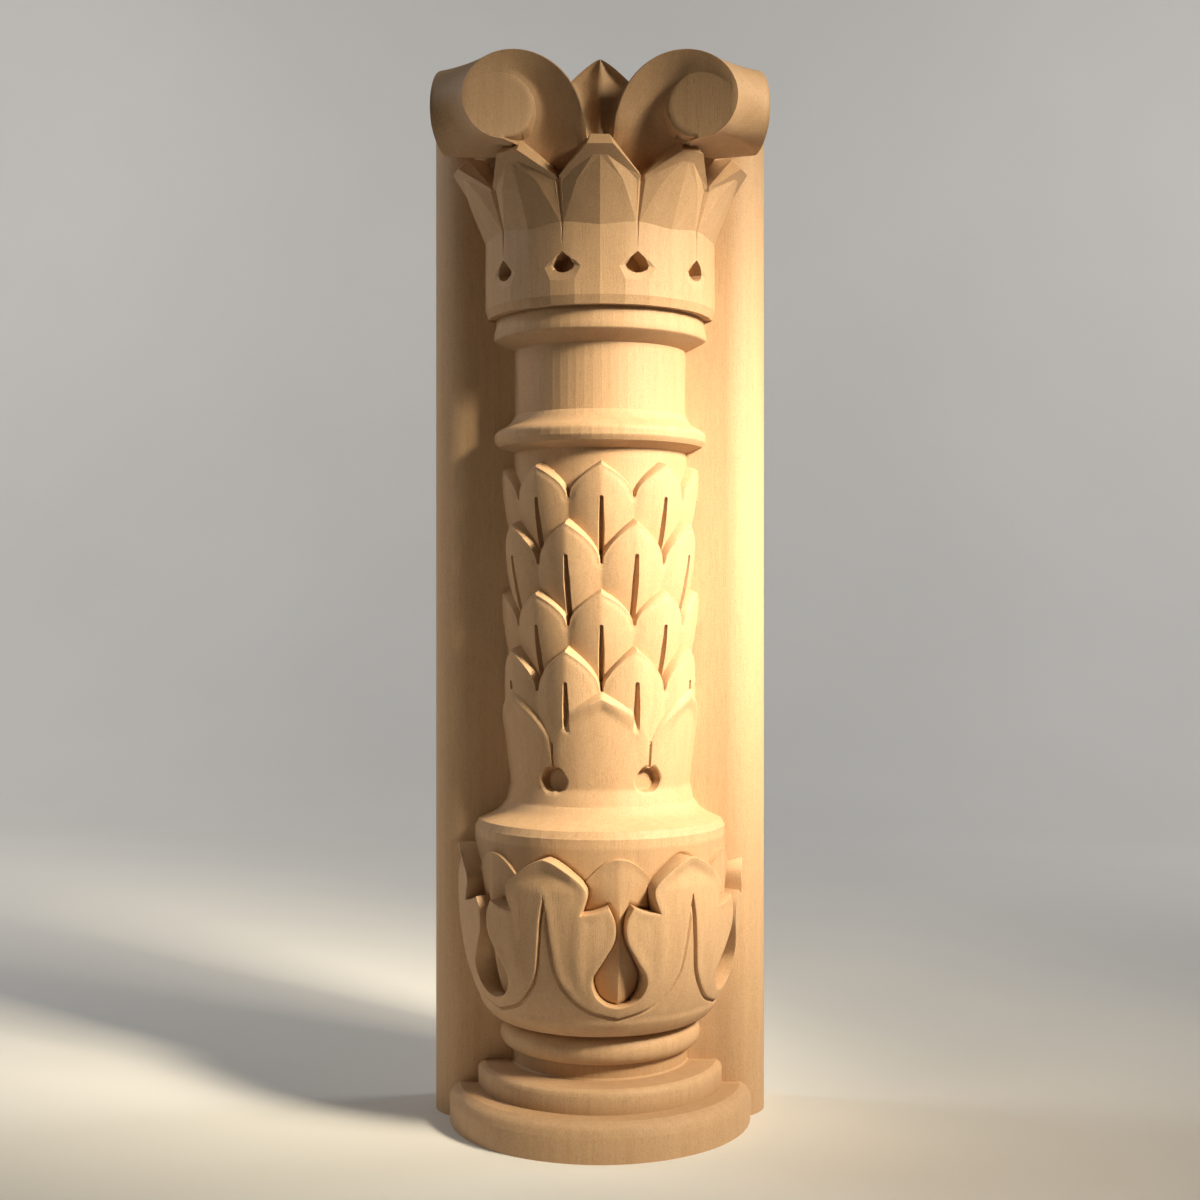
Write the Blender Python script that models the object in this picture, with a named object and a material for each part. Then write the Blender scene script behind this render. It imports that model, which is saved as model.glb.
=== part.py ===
"""A half-round carved colonette in front of a tall back board, cut from one block of pale wood.

From the floor up: stepped round foot, torus, bowl wrapped in leaves, shaft clad in scale leaves,
ring, plain neck, faceted bell with a crown of ten leaves, and a capital with two corner scrolls.
The column axis is the Z axis, the front looks along -Y and the underside lies at Z = 0.
Sizes are in millimetres. Angles are in degrees round the axis, 0 at the front, growing towards +X.
"""
import math

import bmesh
import bpy
import numpy as np
from mathutils import Vector
from mathutils.geometry import delaunay_2d_cdt

NODE = "carved_colonette"
MM = 0.001

# Back board
BOARD_WIDTH = 194.4
BOARD_FRONT = 7.8
BOARD_BACK = 40.8
BOARD_CORNER = 24.5
BOARD_ABOVE_SCROLLS = 8.0

# Round foot: disc, step, short neck and torus
DISC_R = 87.4
DISC_WALL = 13.0
DISC_SHOULDER = 8.1
DISC_BEVEL = 6.2
DISC_BULGE_UP = 0.62
DISC_BULGE_IN = 0.35
STEP_R = 70.9
STEP_WALL = 9.3
STEP_SHOULDER = 3.9
STEP_BEVEL = 3.4
FOOT_NECK_R = 50.8
FOOT_NECK = 8.7
TORUS_R = 58.4
TORUS = 16.4
TORUS_GAP = 0.6
TORUS_SWEEP = 75.0
TORUS_FILLET = 1.0

# Bowl and its leaves
BOWL_FOOT_R = 56.6
BOWL_R = 82.6
BOWL_ROUND = 76.5
BOWL_STRAIGHT = 29.5
BOWL_PLAIN_BELOW = 62.0
BOWL_RIM_SINK = 9.9
BOWL_RIM = 4.3
BOWL_LEAVES = 6
BOWL_TURN = 8.0
FRONT_LEAF_TOP = 100.4
BACK_LEAF_SINK = 6.2
BACK_LEAF_KEEL = 0.12
BACK_LEAF_KEEL_BELOW = 0.28
BACK_LEAF_KEEL_FROM = 0.4
BACK_LEAF_ARCH = 0.032
BACK_LEAF_HALF = 22.0
BACK_LEAF_EDGE = 0.6
TONGUE_SINK = 0.9
TONGUE_GROOVE = 1.3
TONGUE_FLANK = 2.6
TONGUE_EASE = 4.0
LEAF_WALL = 0.3

# Hollow moulding between the bowl and the shaft
CAVETTO_CHAMFER = 4.1
CAVETTO_LIP_IN = 2.1
CAVETTO_MID = 5.2
CAVETTO_MID_R = 60.1
CAVETTO_UPPER = 5.9
CAVETTO_UPPER_R = 54.9
CAVETTO_TOP = 9.3

# Shaft, its tall lower leaves and its four rows of scale leaves
SHAFT_R = 50.5
SHAFT = 189.8
SHAFT_FOOT_R = 52.6
SHAFT_TURN = 0.8
TALL_LEAVES = 6
TALL_TIP = 55.0
TALL_POINT = 34.0
TALL_TIP_R = 59.8
TALL_BODY_R = 57.6
TALL_LIP = 5.0
TALL_UNDERCUT = 3.0
TALL_SLIT = 0.8
TALL_SLIT_DEPTH = 1.8
TALL_CURVE = 2.1
EYE_ANGLE = 27.5
EYE_HEIGHT = 5.4
EYE_HALF = 8.8
EYE_TALL = 7.2
EYE_DEPTH = 10.0
EYE_FLANK = 0.2
EYE_NARROWING = 0.35
EYE_STEPS = 10
SCALE_LEAVES = 9
SCALE_BELOW_RING = 7.1
SCALE_ROW_STEPS = (0.0, 32.1, 39.1, 31.6)
SCALE_POINTS = (19.8, 24.5, 19.8, 24.5)
SCALE_PROUDS = (7.0, 8.5, 7.0, 8.5)
SCALE_LEANS = (5.4, 5.4, 5.4, 2.0)
SCALE_LEAN_OVER = 41.7
SCALE_EDGE = 3.6
SCALE_KEEL = 2.8
SCALE_KEEL_POWER = 1.6
SCALE_CURVE = 1.8
SLOT_DROP = 19.8
SLOT_HALF = 2.05
SLOT_DEPTH = 4.0
SLOT_FLANK = 1.2
LAST_SLOT_FOOT = 28.0

# Ring under the neck, the neck, and the moulding under the bell
RING_R = 61.6
RING_UNDERSIDE = 6.1
RING_WALL = 6.1
RING_TOP = 9.4
RING_ROUND = 2.0
RING_LIP = 2.6
RING_ARRIS_BELOW = 0.4
RING_ARRIS_ABOVE = 0.6
COVE_UP = 0.45
COVE_OUT = 0.3
NECK_R = 50.2
NECK = 37.1
COLLAR_R = 61.9
COLLAR_UNDERSIDE = 6.1
COLLAR_WALL = 3.5
COLLAR_TOP = 5.2
COLLAR_ROUND = 1.2
GROOVE = 3.4
INTO_BELL = 8.0

# Bell and crown leaves
CROWN_LEAVES = 10
BELL_R = 67.0
BELL_CHAMFER = 4.9
BELL_CHAMFER_IN = 1.6
BELL_WALL = 37.7
CROWN_REACH = 19.4
CROWN_RISE = 38.7
CROWN_LIP = 6.6
BELL_EYE_BELOW_BEND = 20.6
BELL_EYE_DEPTH = 10.0
CROWN_SLIT = 0.7
CROWN_SLIT_DEPTH = 0.8
BEND_RISE_MID = 1.7
BEND_RISE_EDGE = 2.2
KALATHOS_R = 60.0
KALATHOS_BELOW_SCROLLS = 8.5

# Corner scrolls and the leaf between them
SCROLL_X = 52.4
SCROLL_ABOVE_BEND = 59.7
SCROLL_EYE_R = 17.4
SCROLL_EDGE_R = 18.3
SCROLL_GROWTH = 2.1
SCROLL_POWER = 2.25
SCROLL_FACE = 83.4
SCROLL_FACE_HOLLOW = 0.00158
SCROLL_RIM_HOLLOW = 4.6
SCROLL_SINK = 5.8
SCROLL_TURNS = 3.144
SCROLL_SEAM = 0.4
STEM_HOLLOW = 0.26
STEM_LEAN = 33.0
STEM_LEAN_TOP = 28.0
STEM_LEAN_OVER = 62.5
STEM_EASE = 12.0
STEM_FROM = 3.1
STEM_OVER = 0.55
STEM = ((48.0, -32.7), (48.0, -38.5), (28.0, -34.0), (20.5, -25.4), (13.2, -17.0), (6.5, -17.8))
MID_LEAF_ABOVE_SCROLLS = 1.0
MID_LEAF_HALF = 16.3
MID_LEAF_POINT = 12.8
MID_LEAF_BODY = 50.0
MID_LEAF_FACE = 68.9
MID_LEAF_HOLLOW = 2.6
MID_LEAF_THICK = 3.2
MID_LEAF_CURVE = 0.77
MID_LEAF_TAPER = 0.7
MID_LEAF_RIB = 0.85
MID_LEAF_DEEP_FROM = 9.0
MID_LEAF_ROOT = 4.0

# How finely curves are divided
SWEEP = 108.0
TURN_STEPS = 40
BOARD_STEPS = 9
SCROLL_STEPS = 20
TORUS_STEPS = 6
UNDERSIDE_STEPS = 3
CARVE_STEP = 11.0
CARVE_CLEAR = 0.42
CARVE_SIDE = 0.5
SCALE_MARGIN = 16.0
TALL_MARGIN = 38.0
BOWL_MARGIN = 8.0
MERGE = 0.00001
SCALE_EDGE_STEPS = 4
TALL_EDGE_STEPS = 6
BOWL_STEPS = 4
SHARP = 13.0
BELL_SHARP = 8.5


def stack(*parts):
    """Adds heights up and gives each running total."""
    return [float(total) for total in np.cumsum(parts)]


H_DISC_WALL, H_DISC, H_STEP_WALL, H_STEP, H_TORUS, H_BOWL = stack(
    DISC_WALL, DISC_SHOULDER, STEP_WALL, STEP_SHOULDER, FOOT_NECK, TORUS + TORUS_GAP)
H_BOWL_FULL, H_BOWL_WALL, H_BOWL_RIM = stack(H_BOWL + BOWL_ROUND, BOWL_STRAIGHT, BOWL_RIM)
H_LIP, H_HOLLOW, H_HOLLOW_TOP, H_SHAFT, H_RING = stack(
    H_BOWL_RIM + CAVETTO_CHAMFER, CAVETTO_MID, CAVETTO_UPPER, CAVETTO_TOP, SHAFT)
H_RING_WALL, H_RING_TOP, H_NECK, H_COLLAR, H_COLLAR_WALL, H_COLLAR_TOP, H_GROOVE, H_BELL = stack(
    H_RING + RING_UNDERSIDE, RING_WALL, RING_TOP, NECK, COLLAR_UNDERSIDE, COLLAR_WALL,
    COLLAR_TOP, GROOVE)
H_BELL_EDGE = H_BELL + BELL_CHAMFER
H_BEND = H_BELL_EDGE + BELL_WALL
H_SCROLL_EYE = H_BEND + SCROLL_ABOVE_BEND
SCROLL_TOP_R = SCROLL_EDGE_R + SCROLL_GROWTH * 2 ** SCROLL_POWER
H_SCROLL_TOP = H_SCROLL_EYE + SCROLL_TOP_R
H_TOP = H_SCROLL_TOP + BOARD_ABOVE_SCROLLS
BOWL_RIM_R = BOWL_R - BOWL_RIM_SINK
CAVETTO_LIP_R = BOWL_RIM_R - CAVETTO_LIP_IN
H_KALATHOS = H_SCROLL_TOP - KALATHOS_BELOW_SCROLLS


def smooth_step(value):
    """Eases from 0 to 1."""
    t = np.clip(value, 0.0, 1.0)
    return t * t * (3.0 - 2.0 * t)


def fold(theta, centre, count):
    """The angle to the middle of the nearest of count equal leaves, as a positive number."""
    pitch = 360.0 / count
    return np.abs((theta - centre + pitch / 2) % pitch - pitch / 2)


class Skin:
    """Points given as angle, height and radius, and the faces between them."""

    def __init__(self):
        self.index = {}
        self.points = []
        self.faces = []

    def point(self, theta, height, radius):
        key = (round(theta, 3), round(height, 3), round(radius, 3))
        if key not in self.index:
            self.index[key] = len(self.points)
            self.points.append((theta, height, radius))
        return self.index[key]

    def face(self, corners):
        loop = [c for i, c in enumerate(corners) if c != corners[i - 1]]
        if len(set(loop)) > 2:
            self.faces.append(loop)

    def turned(self, profile, angles):
        """Sweeps a profile of (height, radius) pairs round the axis."""
        for (low, low_r), (high, high_r) in zip(profile, profile[1:]):
            for left, right in zip(angles, angles[1:]):
                self.face([self.point(left, low, low_r), self.point(right, low, low_r),
                           self.point(right, high, high_r), self.point(left, high, high_r)])

    def close(self, start, end, bottom, top):
        """Caps the sweep: underside, top and the two sides that run in to the axis."""
        foot = self.point(0.0, bottom, 0.0)
        head = self.point(0.0, top, 0.0)
        for level, hub in ((bottom, foot), (top, head)):
            ring = sorted((p[0], i) for i, p in enumerate(self.points)
                          if abs(p[1] - level) < 1e-6 and p[2] > 0)
            for (_, left), (_, right) in zip(ring, ring[1:]):
                self.face([hub, left, right])
        for side in (start, end):
            column = [i for i, p in enumerate(self.points) if abs(p[0] - side) < 1e-6 and p[2] > 0]
            self.face([foot] + self.ordered(column) + [head])

    def ordered(self, column):
        """Sorts the points of a side by following the faces' edges up from the lowest one."""
        members = set(column)
        beside = {i: set() for i in column}
        for loop in self.faces:
            for a, b in zip(loop, loop[1:] + loop[:1]):
                if a in members and b in members:
                    beside[a].add(b)
                    beside[b].add(a)
        chain = [min(column, key=lambda i: (self.points[i][1], -self.points[i][2]))]
        while True:
            onward = [i for i in beside[chain[-1]] if i not in chain]
            if not onward:
                return chain
            chain.append(onward[0])

    def mesh(self, name):
        spots = []
        for theta, height, radius in self.points:
            turn = math.radians(theta)
            spots.append((radius * math.sin(turn) * MM, -radius * math.cos(turn) * MM, height * MM))
        return solid(name, spots, self.faces)


def solid(name, spots, faces):
    """Makes an object of a closed mesh, with its faces turned outwards."""
    mesh = bpy.data.meshes.new(name)
    mesh.from_pydata(spots, [], faces)
    work = bmesh.new()
    work.from_mesh(mesh)
    bmesh.ops.remove_doubles(work, verts=work.verts, dist=1e-7)
    bmesh.ops.recalc_face_normals(work, faces=work.faces)
    if work.calc_volume(signed=True) < 0:
        bmesh.ops.reverse_faces(work, faces=work.faces)
    work.to_mesh(mesh)
    work.free()
    made = bpy.data.objects.new(name, mesh)
    bpy.context.scene.collection.objects.link(made)
    return made


def triangulate(points, chains):
    """Triangulates a flat set of points, keeping the chains of neighbours as edges."""
    edges = [(a, b) for chain in chains for a, b in zip(chain, chain[1:]) if a != b]
    flat = [Vector((float(x), float(y))) for x, y in points]
    spots, _, faces, origins, _, _ = delaunay_2d_cdt(flat, edges, [], 1, 1e-5, True)
    return [(p.x, p.y) for p in spots], faces, origins


def gap_to_lines(points, lines):
    """The distance from each point to the nearest of the lines."""
    best = np.full(len(points), 1e9)
    for line in lines:
        line = np.asarray(line, float)
        for a, b in zip(line, line[1:]):
            along = b - a
            size = max(float(along @ along), 1e-12)
            t = np.clip(((points - a) @ along) / size, 0.0, 1.0)
            best = np.minimum(best, np.linalg.norm(points - (a + t[:, None] * along), axis=1))
    return best


def divided(line, step):
    """The same line with more points, so that none of its parts is longer than step."""
    out = []
    for a, b in zip(line, line[1:]):
        parts = max(1, math.ceil(math.dist(a, b) / step))
        out += [tuple(np.asarray(a) + (np.asarray(b) - a) * k / parts) for k in range(parts)]
    return out + [tuple(line[-1])]


def carve(skin, low, high, angles, roll, radius, lines, step):
    """Covers a band of the column with a carved surface. Lines are drawn unrolled, at radius roll.

    The surface gets points along the lines, so that they stay crisp, and an even grid between them.
    """
    per_degree = math.radians(1.0) * roll
    border = [(a * per_degree, h) for h in (low, high) for a in angles]
    points = list(border)
    count = len(angles)
    corners = [0, count - 1, 2 * count - 1, count]
    chains = [list(range(count)), list(range(count, 2 * count)),
              [corners[1], corners[2]], [corners[0], corners[3]]]
    left, right = border[0][0], border[count - 1][0]
    kept = []
    for line in lines:
        line = np.asarray(line, float)
        inside = ((line[:, 0] > left + CARVE_SIDE) & (line[:, 0] < right - CARVE_SIDE)
                  & (line[:, 1] > low + CARVE_SIDE) & (line[:, 1] < high - CARVE_SIDE))
        kept += [divided(part, step) for part in runs(line, inside)]
    for line in kept:
        chains.append(list(range(len(points), len(points) + len(line))))
        points += line
    across = np.arange(left + step, right - step / 2, step)
    up = np.arange(low + step, high - step / 2, step)
    grid = np.array([(x + 0.5 * step * (row % 2), y) for row, y in enumerate(up) for x in across])
    room = gap_to_lines(grid, kept) > CARVE_CLEAR * step
    points += [tuple(p) for p in grid[room]]
    spots, faces, _ = triangulate(points, chains)
    spots = np.array(spots)
    theta = spots[:, 0] / per_degree
    # The side borders are set back to their exact angle, so that the caps stay flat
    theta[np.abs(theta - angles[0]) < 1e-3] = angles[0]
    theta[np.abs(theta - angles[-1]) < 1e-3] = angles[-1]
    radii = radius(theta, spots[:, 1])
    made = []
    for (_, h), t, r in zip(spots, theta, radii):
        near = min(angles, key=lambda a: abs(a - t))
        if abs(h - low) < 1e-3 or abs(h - high) < 1e-3:
            t, h = near, (low if abs(h - low) < 1e-3 else high)
        made.append(skin.point(float(t), float(h), float(r)))
    for loop in faces:
        skin.face([made[i] for i in loop])


def point_width(drop, half, point, curve):
    """Half the width of a leaf at some drop below its tip."""
    return half * (1.0 - (1.0 - np.clip(drop / point, 0.0, 1.0)) ** curve)


def point_drop(across, half, point, curve):
    """How far below its tip a leaf's edge lies, at some distance from its mid-line."""
    return point * (1.0 - (1.0 - np.clip(across / half, 0.0, 1.0)) ** (1.0 / curve))


def leaf_edge(half, point, curve, steps):
    """Points down the right edge of a pointed leaf, as (across, drop) pairs."""
    drops = point * (1.0 - np.cos(np.linspace(0.0, math.pi / 2, steps + 1)))
    return [(float(point_width(d, half, point, curve)), float(d)) for d in drops]


SHAFT_ROLL = SHAFT_R + SCALE_PROUDS[0] / 2
SHAFT_DEGREE = math.radians(1.0) * SHAFT_ROLL
SCALE_HALF = 180.0 / SCALE_LEAVES * SHAFT_DEGREE
TALL_HALF = 180.0 / TALL_LEAVES * SHAFT_DEGREE


def scale_rows():
    """Each row of scale leaves from the top down: tip height, drop to the notch and centre angle."""
    tips = H_RING - SCALE_BELOW_RING - np.cumsum(SCALE_ROW_STEPS)
    for row, (tip, point) in enumerate(zip(tips, SCALE_POINTS)):
        yield float(tip), point, SHAFT_TURN + (row % 2) * 180.0 / SCALE_LEAVES


def slot_foot(row, theta):
    """Where a slot ends: at the notch below it, or beside the tall leaves in the last row."""
    rows = list(scale_rows())
    if row + 1 < len(rows):
        return rows[row + 1][0] - rows[row + 1][1]
    beside = fold(theta, SHAFT_TURN, TALL_LEAVES) > 90.0 / SCALE_LEAVES
    return np.where(beside, H_SHAFT + LAST_SLOT_FOOT, H_SHAFT + TALL_TIP)


def tall_gap(theta, height):
    """How far below the edge of the tall leaves places lie, negative above it."""
    across = fold(theta, SHAFT_TURN, TALL_LEAVES) * SHAFT_DEGREE
    return H_SHAFT + TALL_TIP - height - point_drop(across, TALL_HALF, TALL_POINT, TALL_CURVE)


def slot_cut(theta, height, row, tip, centre):
    """How deep the slot of one row's leaves goes, from 0 to 1."""
    across = fold(theta, centre, SCALE_LEAVES) * SHAFT_DEGREE
    above = np.maximum(0.0, height - tip + SLOT_DROP + SLOT_HALF)
    cut = np.clip((SLOT_HALF - np.hypot(across, above)) / SLOT_FLANK, 0.0, 1.0)
    return cut * (height > slot_foot(row, theta) - 1e-6)


def tall_leaves(surface, theta, height):
    """Lays the tall leaves of the lowest row over a surface, with the slits and eyes between them."""
    across = fold(theta, SHAFT_TURN, TALL_LEAVES) * SHAFT_DEGREE
    depth = tall_gap(theta, height)
    body = np.interp(height, [H_HOLLOW_TOP, H_SHAFT, H_SHAFT + TALL_TIP - TALL_LIP],
                     [CAVETTO_UPPER_R, SHAFT_FOOT_R, TALL_BODY_R])
    lip = np.clip(1.0 - (depth - TALL_LIP) / TALL_UNDERCUT, 0.0, 1.0) * (1.0 - across / TALL_HALF)
    face = body + (TALL_TIP_R - TALL_BODY_R) * lip
    rise = np.clip(depth / TALL_LIP, 0.0, 1.0)
    surface = np.where(depth > 0, surface + (face - surface) * rise, surface)
    slit = np.clip(1.0 - (TALL_HALF - across) / TALL_SLIT, 0.0, 1.0)
    slit = slit * (height > H_SHAFT + EYE_HEIGHT) * (depth > 0)
    hole = np.clip((1.0 - eye_reach(theta, height)) / EYE_FLANK, 0.0, 1.0)
    return surface - np.maximum(TALL_SLIT_DEPTH * slit, EYE_DEPTH * hole)


def shaft_radius(theta, height):
    """The carved surface of the shaft, from the topmost row of leaves down to the tall ones."""
    surface = np.full_like(height, SHAFT_R)
    slots = np.zeros_like(height)
    for row, (tip, point, centre) in enumerate(scale_rows()):
        across = fold(theta, centre, SCALE_LEAVES) * SHAFT_DEGREE
        drop = tip - height
        depth = drop - point_drop(across, SCALE_HALF, point, SCALE_CURVE)
        lean = SCALE_LEANS[row] * ((drop - SCALE_EDGE) / SCALE_LEAN_OVER) ** 2
        face = SHAFT_R + SCALE_PROUDS[row] - lean
        face = np.maximum(face, SHAFT_R) - SCALE_KEEL * (across / SCALE_HALF) ** SCALE_KEEL_POWER
        rise = np.clip(depth / SCALE_EDGE, 0.0, 1.0)
        surface = np.where(depth > 0, surface + (face - surface) * rise, surface)
        slots = np.maximum(slots, slot_cut(theta, height, row, tip, centre) * (depth > 0))
    return tall_leaves(surface, theta, height) - SLOT_DEPTH * slots


def eye_reach(theta, height):
    """How far out from the middle of a drilled eye a place lies, 1 at its edge."""
    across = (fold(theta, SHAFT_TURN, TALL_LEAVES) - EYE_ANGLE) * SHAFT_DEGREE
    rise = (height - H_SHAFT - EYE_HEIGHT) / EYE_TALL
    return np.hypot(across / (EYE_HALF * (1.0 - EYE_NARROWING * np.clip(rise, 0.0, 1.0))), rise)


def eye_outline(scale):
    """One drilled eye as a closed line of (across, rise) pairs round its middle."""
    line = []
    for turn in np.linspace(0.0, 2.0 * math.pi, EYE_STEPS + 1):
        rise = math.sin(turn) * scale
        narrow = 1.0 - EYE_NARROWING * max(rise, 0.0)
        line.append((math.cos(turn) * EYE_HALF * narrow * scale, rise * EYE_TALL))
    return line


def runs(line, keep):
    """The stretches of a line whose points are all kept."""
    out, run = [], []
    for spot, good in zip(line, keep):
        if good:
            run.append(tuple(spot))
        elif run:
            out.append(run)
            run = []
    return out + [run] if run else out


def around(count, centre, reach):
    """The mid-angles of the leaves whose middle lies within reach of the front."""
    pitch = 360.0 / count
    first = math.ceil((-reach - centre) / pitch)
    return [centre + pitch * k for k in range(first, int((reach - centre) // pitch) + 1)]


def scale_lines(row, tip, point, centre):
    """The edges and seams of one row of scale leaves, drawn unrolled."""
    edge = leaf_edge(SCALE_HALF, point, SCALE_CURVE, SCALE_EDGE_STEPS)
    rows = list(scale_rows())
    foot = rows[row + 1][0] if row + 1 < len(rows) else H_SHAFT + TALL_TIP - TALL_POINT
    lines = []
    for angle in around(SCALE_LEAVES, centre, SWEEP - SCALE_MARGIN):
        x = angle * SHAFT_DEGREE
        for side in (-1, 1):
            lines.append([(x + side * a, tip - d) for a, d in edge])
            lines.append([(x + side * a, tip - d - SCALE_EDGE) for a, d in edge])
        lines.append([(x, tip - SCALE_EDGE), (x, tip - SLOT_DROP)])
        lines.append([(x + SCALE_HALF, tip - point - SCALE_EDGE), (x + SCALE_HALF, foot)])
    return lines


def slot_lines(row, tip, centre):
    """The rims and floors of the slots in one row of scale leaves."""
    top = tip - SLOT_DROP - SLOT_HALF
    floor = SLOT_HALF - SLOT_FLANK
    lines = []
    for angle in around(SCALE_LEAVES, centre, SWEEP - SCALE_MARGIN):
        x = angle * SHAFT_DEGREE
        end = float(slot_foot(row, angle))
        for half in (SLOT_HALF, floor):
            lines.append([(x - half, end), (x - half, top), (x, top + half), (x + half, top),
                          (x + half, end)])
    return lines


def shaft_lines():
    """The leaf edges, slots and eyes of the shaft, drawn unrolled."""
    lines = []
    for row, (tip, point, centre) in enumerate(scale_rows()):
        for line in scale_lines(row, tip, point, centre):
            line = divided(line, CARVE_STEP)
            spots = np.array(line)
            above = tall_gap(spots[:, 0] / SHAFT_DEGREE, spots[:, 1]) < -0.5
            lines += runs(line, above)
        lines += slot_lines(row, tip, centre)
    tip = H_SHAFT + TALL_TIP
    edge = leaf_edge(TALL_HALF, TALL_POINT, TALL_CURVE, TALL_EDGE_STEPS)
    eye_top = H_SHAFT + EYE_HEIGHT + EYE_TALL + 0.5
    for angle in around(TALL_LEAVES, SHAFT_TURN, SWEEP - TALL_MARGIN):
        x = angle * SHAFT_DEGREE
        for side in (-1, 1):
            lines.append([(x + side * a, tip - d) for a, d in edge])
            lines.append([(x + side * a, tip - d - TALL_LIP) for a, d in edge[:-1]])
            lines.append([(x + side * a, tip - d - TALL_LIP - TALL_UNDERCUT) for a, d in edge[:-2]])
            rim = x + side * (TALL_HALF - TALL_SLIT)
            lines.append([(rim, tip - TALL_POINT - 1.0), (rim, eye_top)])
            eye = x + side * EYE_ANGLE * SHAFT_DEGREE
            for scale in (1.0, 1.0 - EYE_FLANK):
                lines.append([(eye + a, H_SHAFT + EYE_HEIGHT + r) for a, r in eye_outline(scale)])
        lines.append([(x + TALL_HALF, tip - TALL_POINT), (x + TALL_HALF, eye_top)])
    return lines


def bowl_leaf_surface(height):
    """The outer face of the bowl's leaves: a quarter ellipse below, upright above."""
    t = np.clip((H_BOWL_FULL - height) / BOWL_ROUND, 0.0, 1.0)
    return BOWL_FOOT_R + (BOWL_R - BOWL_FOOT_R) * np.sqrt(1.0 - t * t)


def flowing(points, steps):
    """A smooth line through a few points, with steps parts between neighbours."""
    points = [np.asarray(p, float) for p in points]
    padded = [2 * points[0] - points[1]] + points + [2 * points[-1] - points[-2]]
    line = []
    for a, b, c, d in zip(padded, padded[1:], padded[2:], padded[3:]):
        for t in np.arange(steps) / steps:
            line.append(0.5 * (2 * b + (c - a) * t + (2 * a - 5 * b + 4 * c - d) * t ** 2
                               + (3 * b - a - 3 * c + d) * t ** 3))
    return line + [points[-1]]


BOWL_ROLL = BOWL_R - BACK_LEAF_SINK / 2
BOWL_DEGREE = math.radians(1.0) * BOWL_ROLL


def bowl_outline(steps):
    """The front leaf from the middle of a drop opening (0) to the middle of a leaf (its half pitch).

    Gives the upper edge, the opening and the lower edge, as (across, height) lines. The points below
    are hundredths of half a leaf's width, and of its height down from the tip.
    """
    half = 180.0 / BOWL_LEAVES * BOWL_DEGREE

    def place(pairs):
        return [(half * across / 100.0, H_BOWL + FRONT_LEAF_TOP * (1.0 - drop / 100.0))
                for across, drop in pairs]

    lobe = flowing(place([(100, 0), (88, 1.6), (68, 6.6), (48, 13.6), (44, 19.5), (52, 29.5)]), steps)
    shoulder = flowing(place([(52, 29.5), (33, 27.9), (16, 25.1)]), max(1, steps // 2))
    drop = flowing(place([(16, 25.1), (7.5, 33), (8.5, 43), (22, 53.5), (37, 64.4), (33, 73.5),
                          (17.5, 79), (0, 80.6)]), steps)
    cup = flowing(place([(100, 20), (95, 31), (90.5, 46.5), (84, 62), (68, 73.3), (42, 81.7),
                         (0, 86.7)]), steps)
    return lobe, shoulder, drop, cup


def within(points, outline):
    """Whether each point lies inside a closed outline."""
    ring = [np.asarray(p, float) for p in outline]
    inside = np.zeros(len(points), bool)
    for a, b in zip(ring, ring[1:] + ring[:1]):
        if abs(b[1] - a[1]) < 1e-9:
            continue
        crosses = (a[1] > points[:, 1]) != (b[1] > points[:, 1])
        where = a[0] + (points[:, 1] - a[1]) / (b[1] - a[1]) * (b[0] - a[0])
        inside ^= crosses & (points[:, 0] < where)
    return inside


def bowl_radius(theta, height):
    """The carved surface of the bowl: rim wall and tongues, back leaves, and front leaves over them."""
    lobe, shoulder, drop, cup = bowl_outline(BOWL_STEPS)
    upper = lobe + shoulder[1:] + drop[1:]
    top = H_BOWL + FRONT_LEAF_TOP
    across = fold(theta, BOWL_TURN, BOWL_LEAVES) * BOWL_DEGREE
    spots = np.stack([across, height], axis=1)
    outer = bowl_leaf_surface(height)
    # The tongues fill the space between the cups, with a groove along each cup
    from_cup = gap_to_lines(spots, [cup])
    groove = TONGUE_SINK + TONGUE_GROOVE * np.clip(1.0 - from_cup / TONGUE_FLANK, 0.0, 1.0)
    tongue = outer - groove * smooth_step((height - bowl_carve_foot()) / TONGUE_EASE)
    below = outside_cups(spots, cup)
    ground = np.where(below, tongue, outer - BOWL_RIM_SINK)
    # Back leaf, with a rib down the middle of the opening
    drop_down = top - height
    back_gap = drop_down - BACK_LEAF_ARCH * across ** 2
    lower = smooth_step(drop_down / BOWL_STRAIGHT - BACK_LEAF_KEEL_FROM)
    keel = BACK_LEAF_KEEL + BACK_LEAF_KEEL_BELOW * lower
    rib = outer - BACK_LEAF_SINK - keel * across
    rise = np.where((across < BACK_LEAF_HALF) & ~below, np.clip(back_gap / BACK_LEAF_EDGE, 0.0, 1.0), 0.0)
    base = ground + (rib - ground) * rise
    # Front leaf, with steep walls round it
    edges = gap_to_lines(spots, [upper, cup])
    ends = gap_to_lines(spots, [[upper[0], cup[0]], [upper[-1], cup[-1]]])
    inside = within(spots, upper + cup[::-1]) | (edges < 1e-3) | (ends < 1e-3)
    front = np.where(inside, 1.0, 1.0 - np.clip(edges / LEAF_WALL, 0.0, 1.0))
    return base + (outer - base) * front


def outside_cups(spots, cup):
    """Whether places lie below or beside the rounded cups that hold the openings."""
    cup = np.asarray(cup, float)
    order = np.argsort(cup[:, 1])
    edge = np.interp(spots[:, 1], cup[order, 1], cup[order, 0])
    beside = (spots[:, 0] > edge - 1e-6) & (spots[:, 1] < cup[:, 1].max())
    return beside | (spots[:, 1] < cup[:, 1].min())


def bowl_carve_foot():
    """The height where the leaves start, above the plain turned underside of the bowl."""
    return H_BOWL_FULL - BOWL_ROUND * math.sin(math.radians(BOWL_PLAIN_BELOW))


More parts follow.
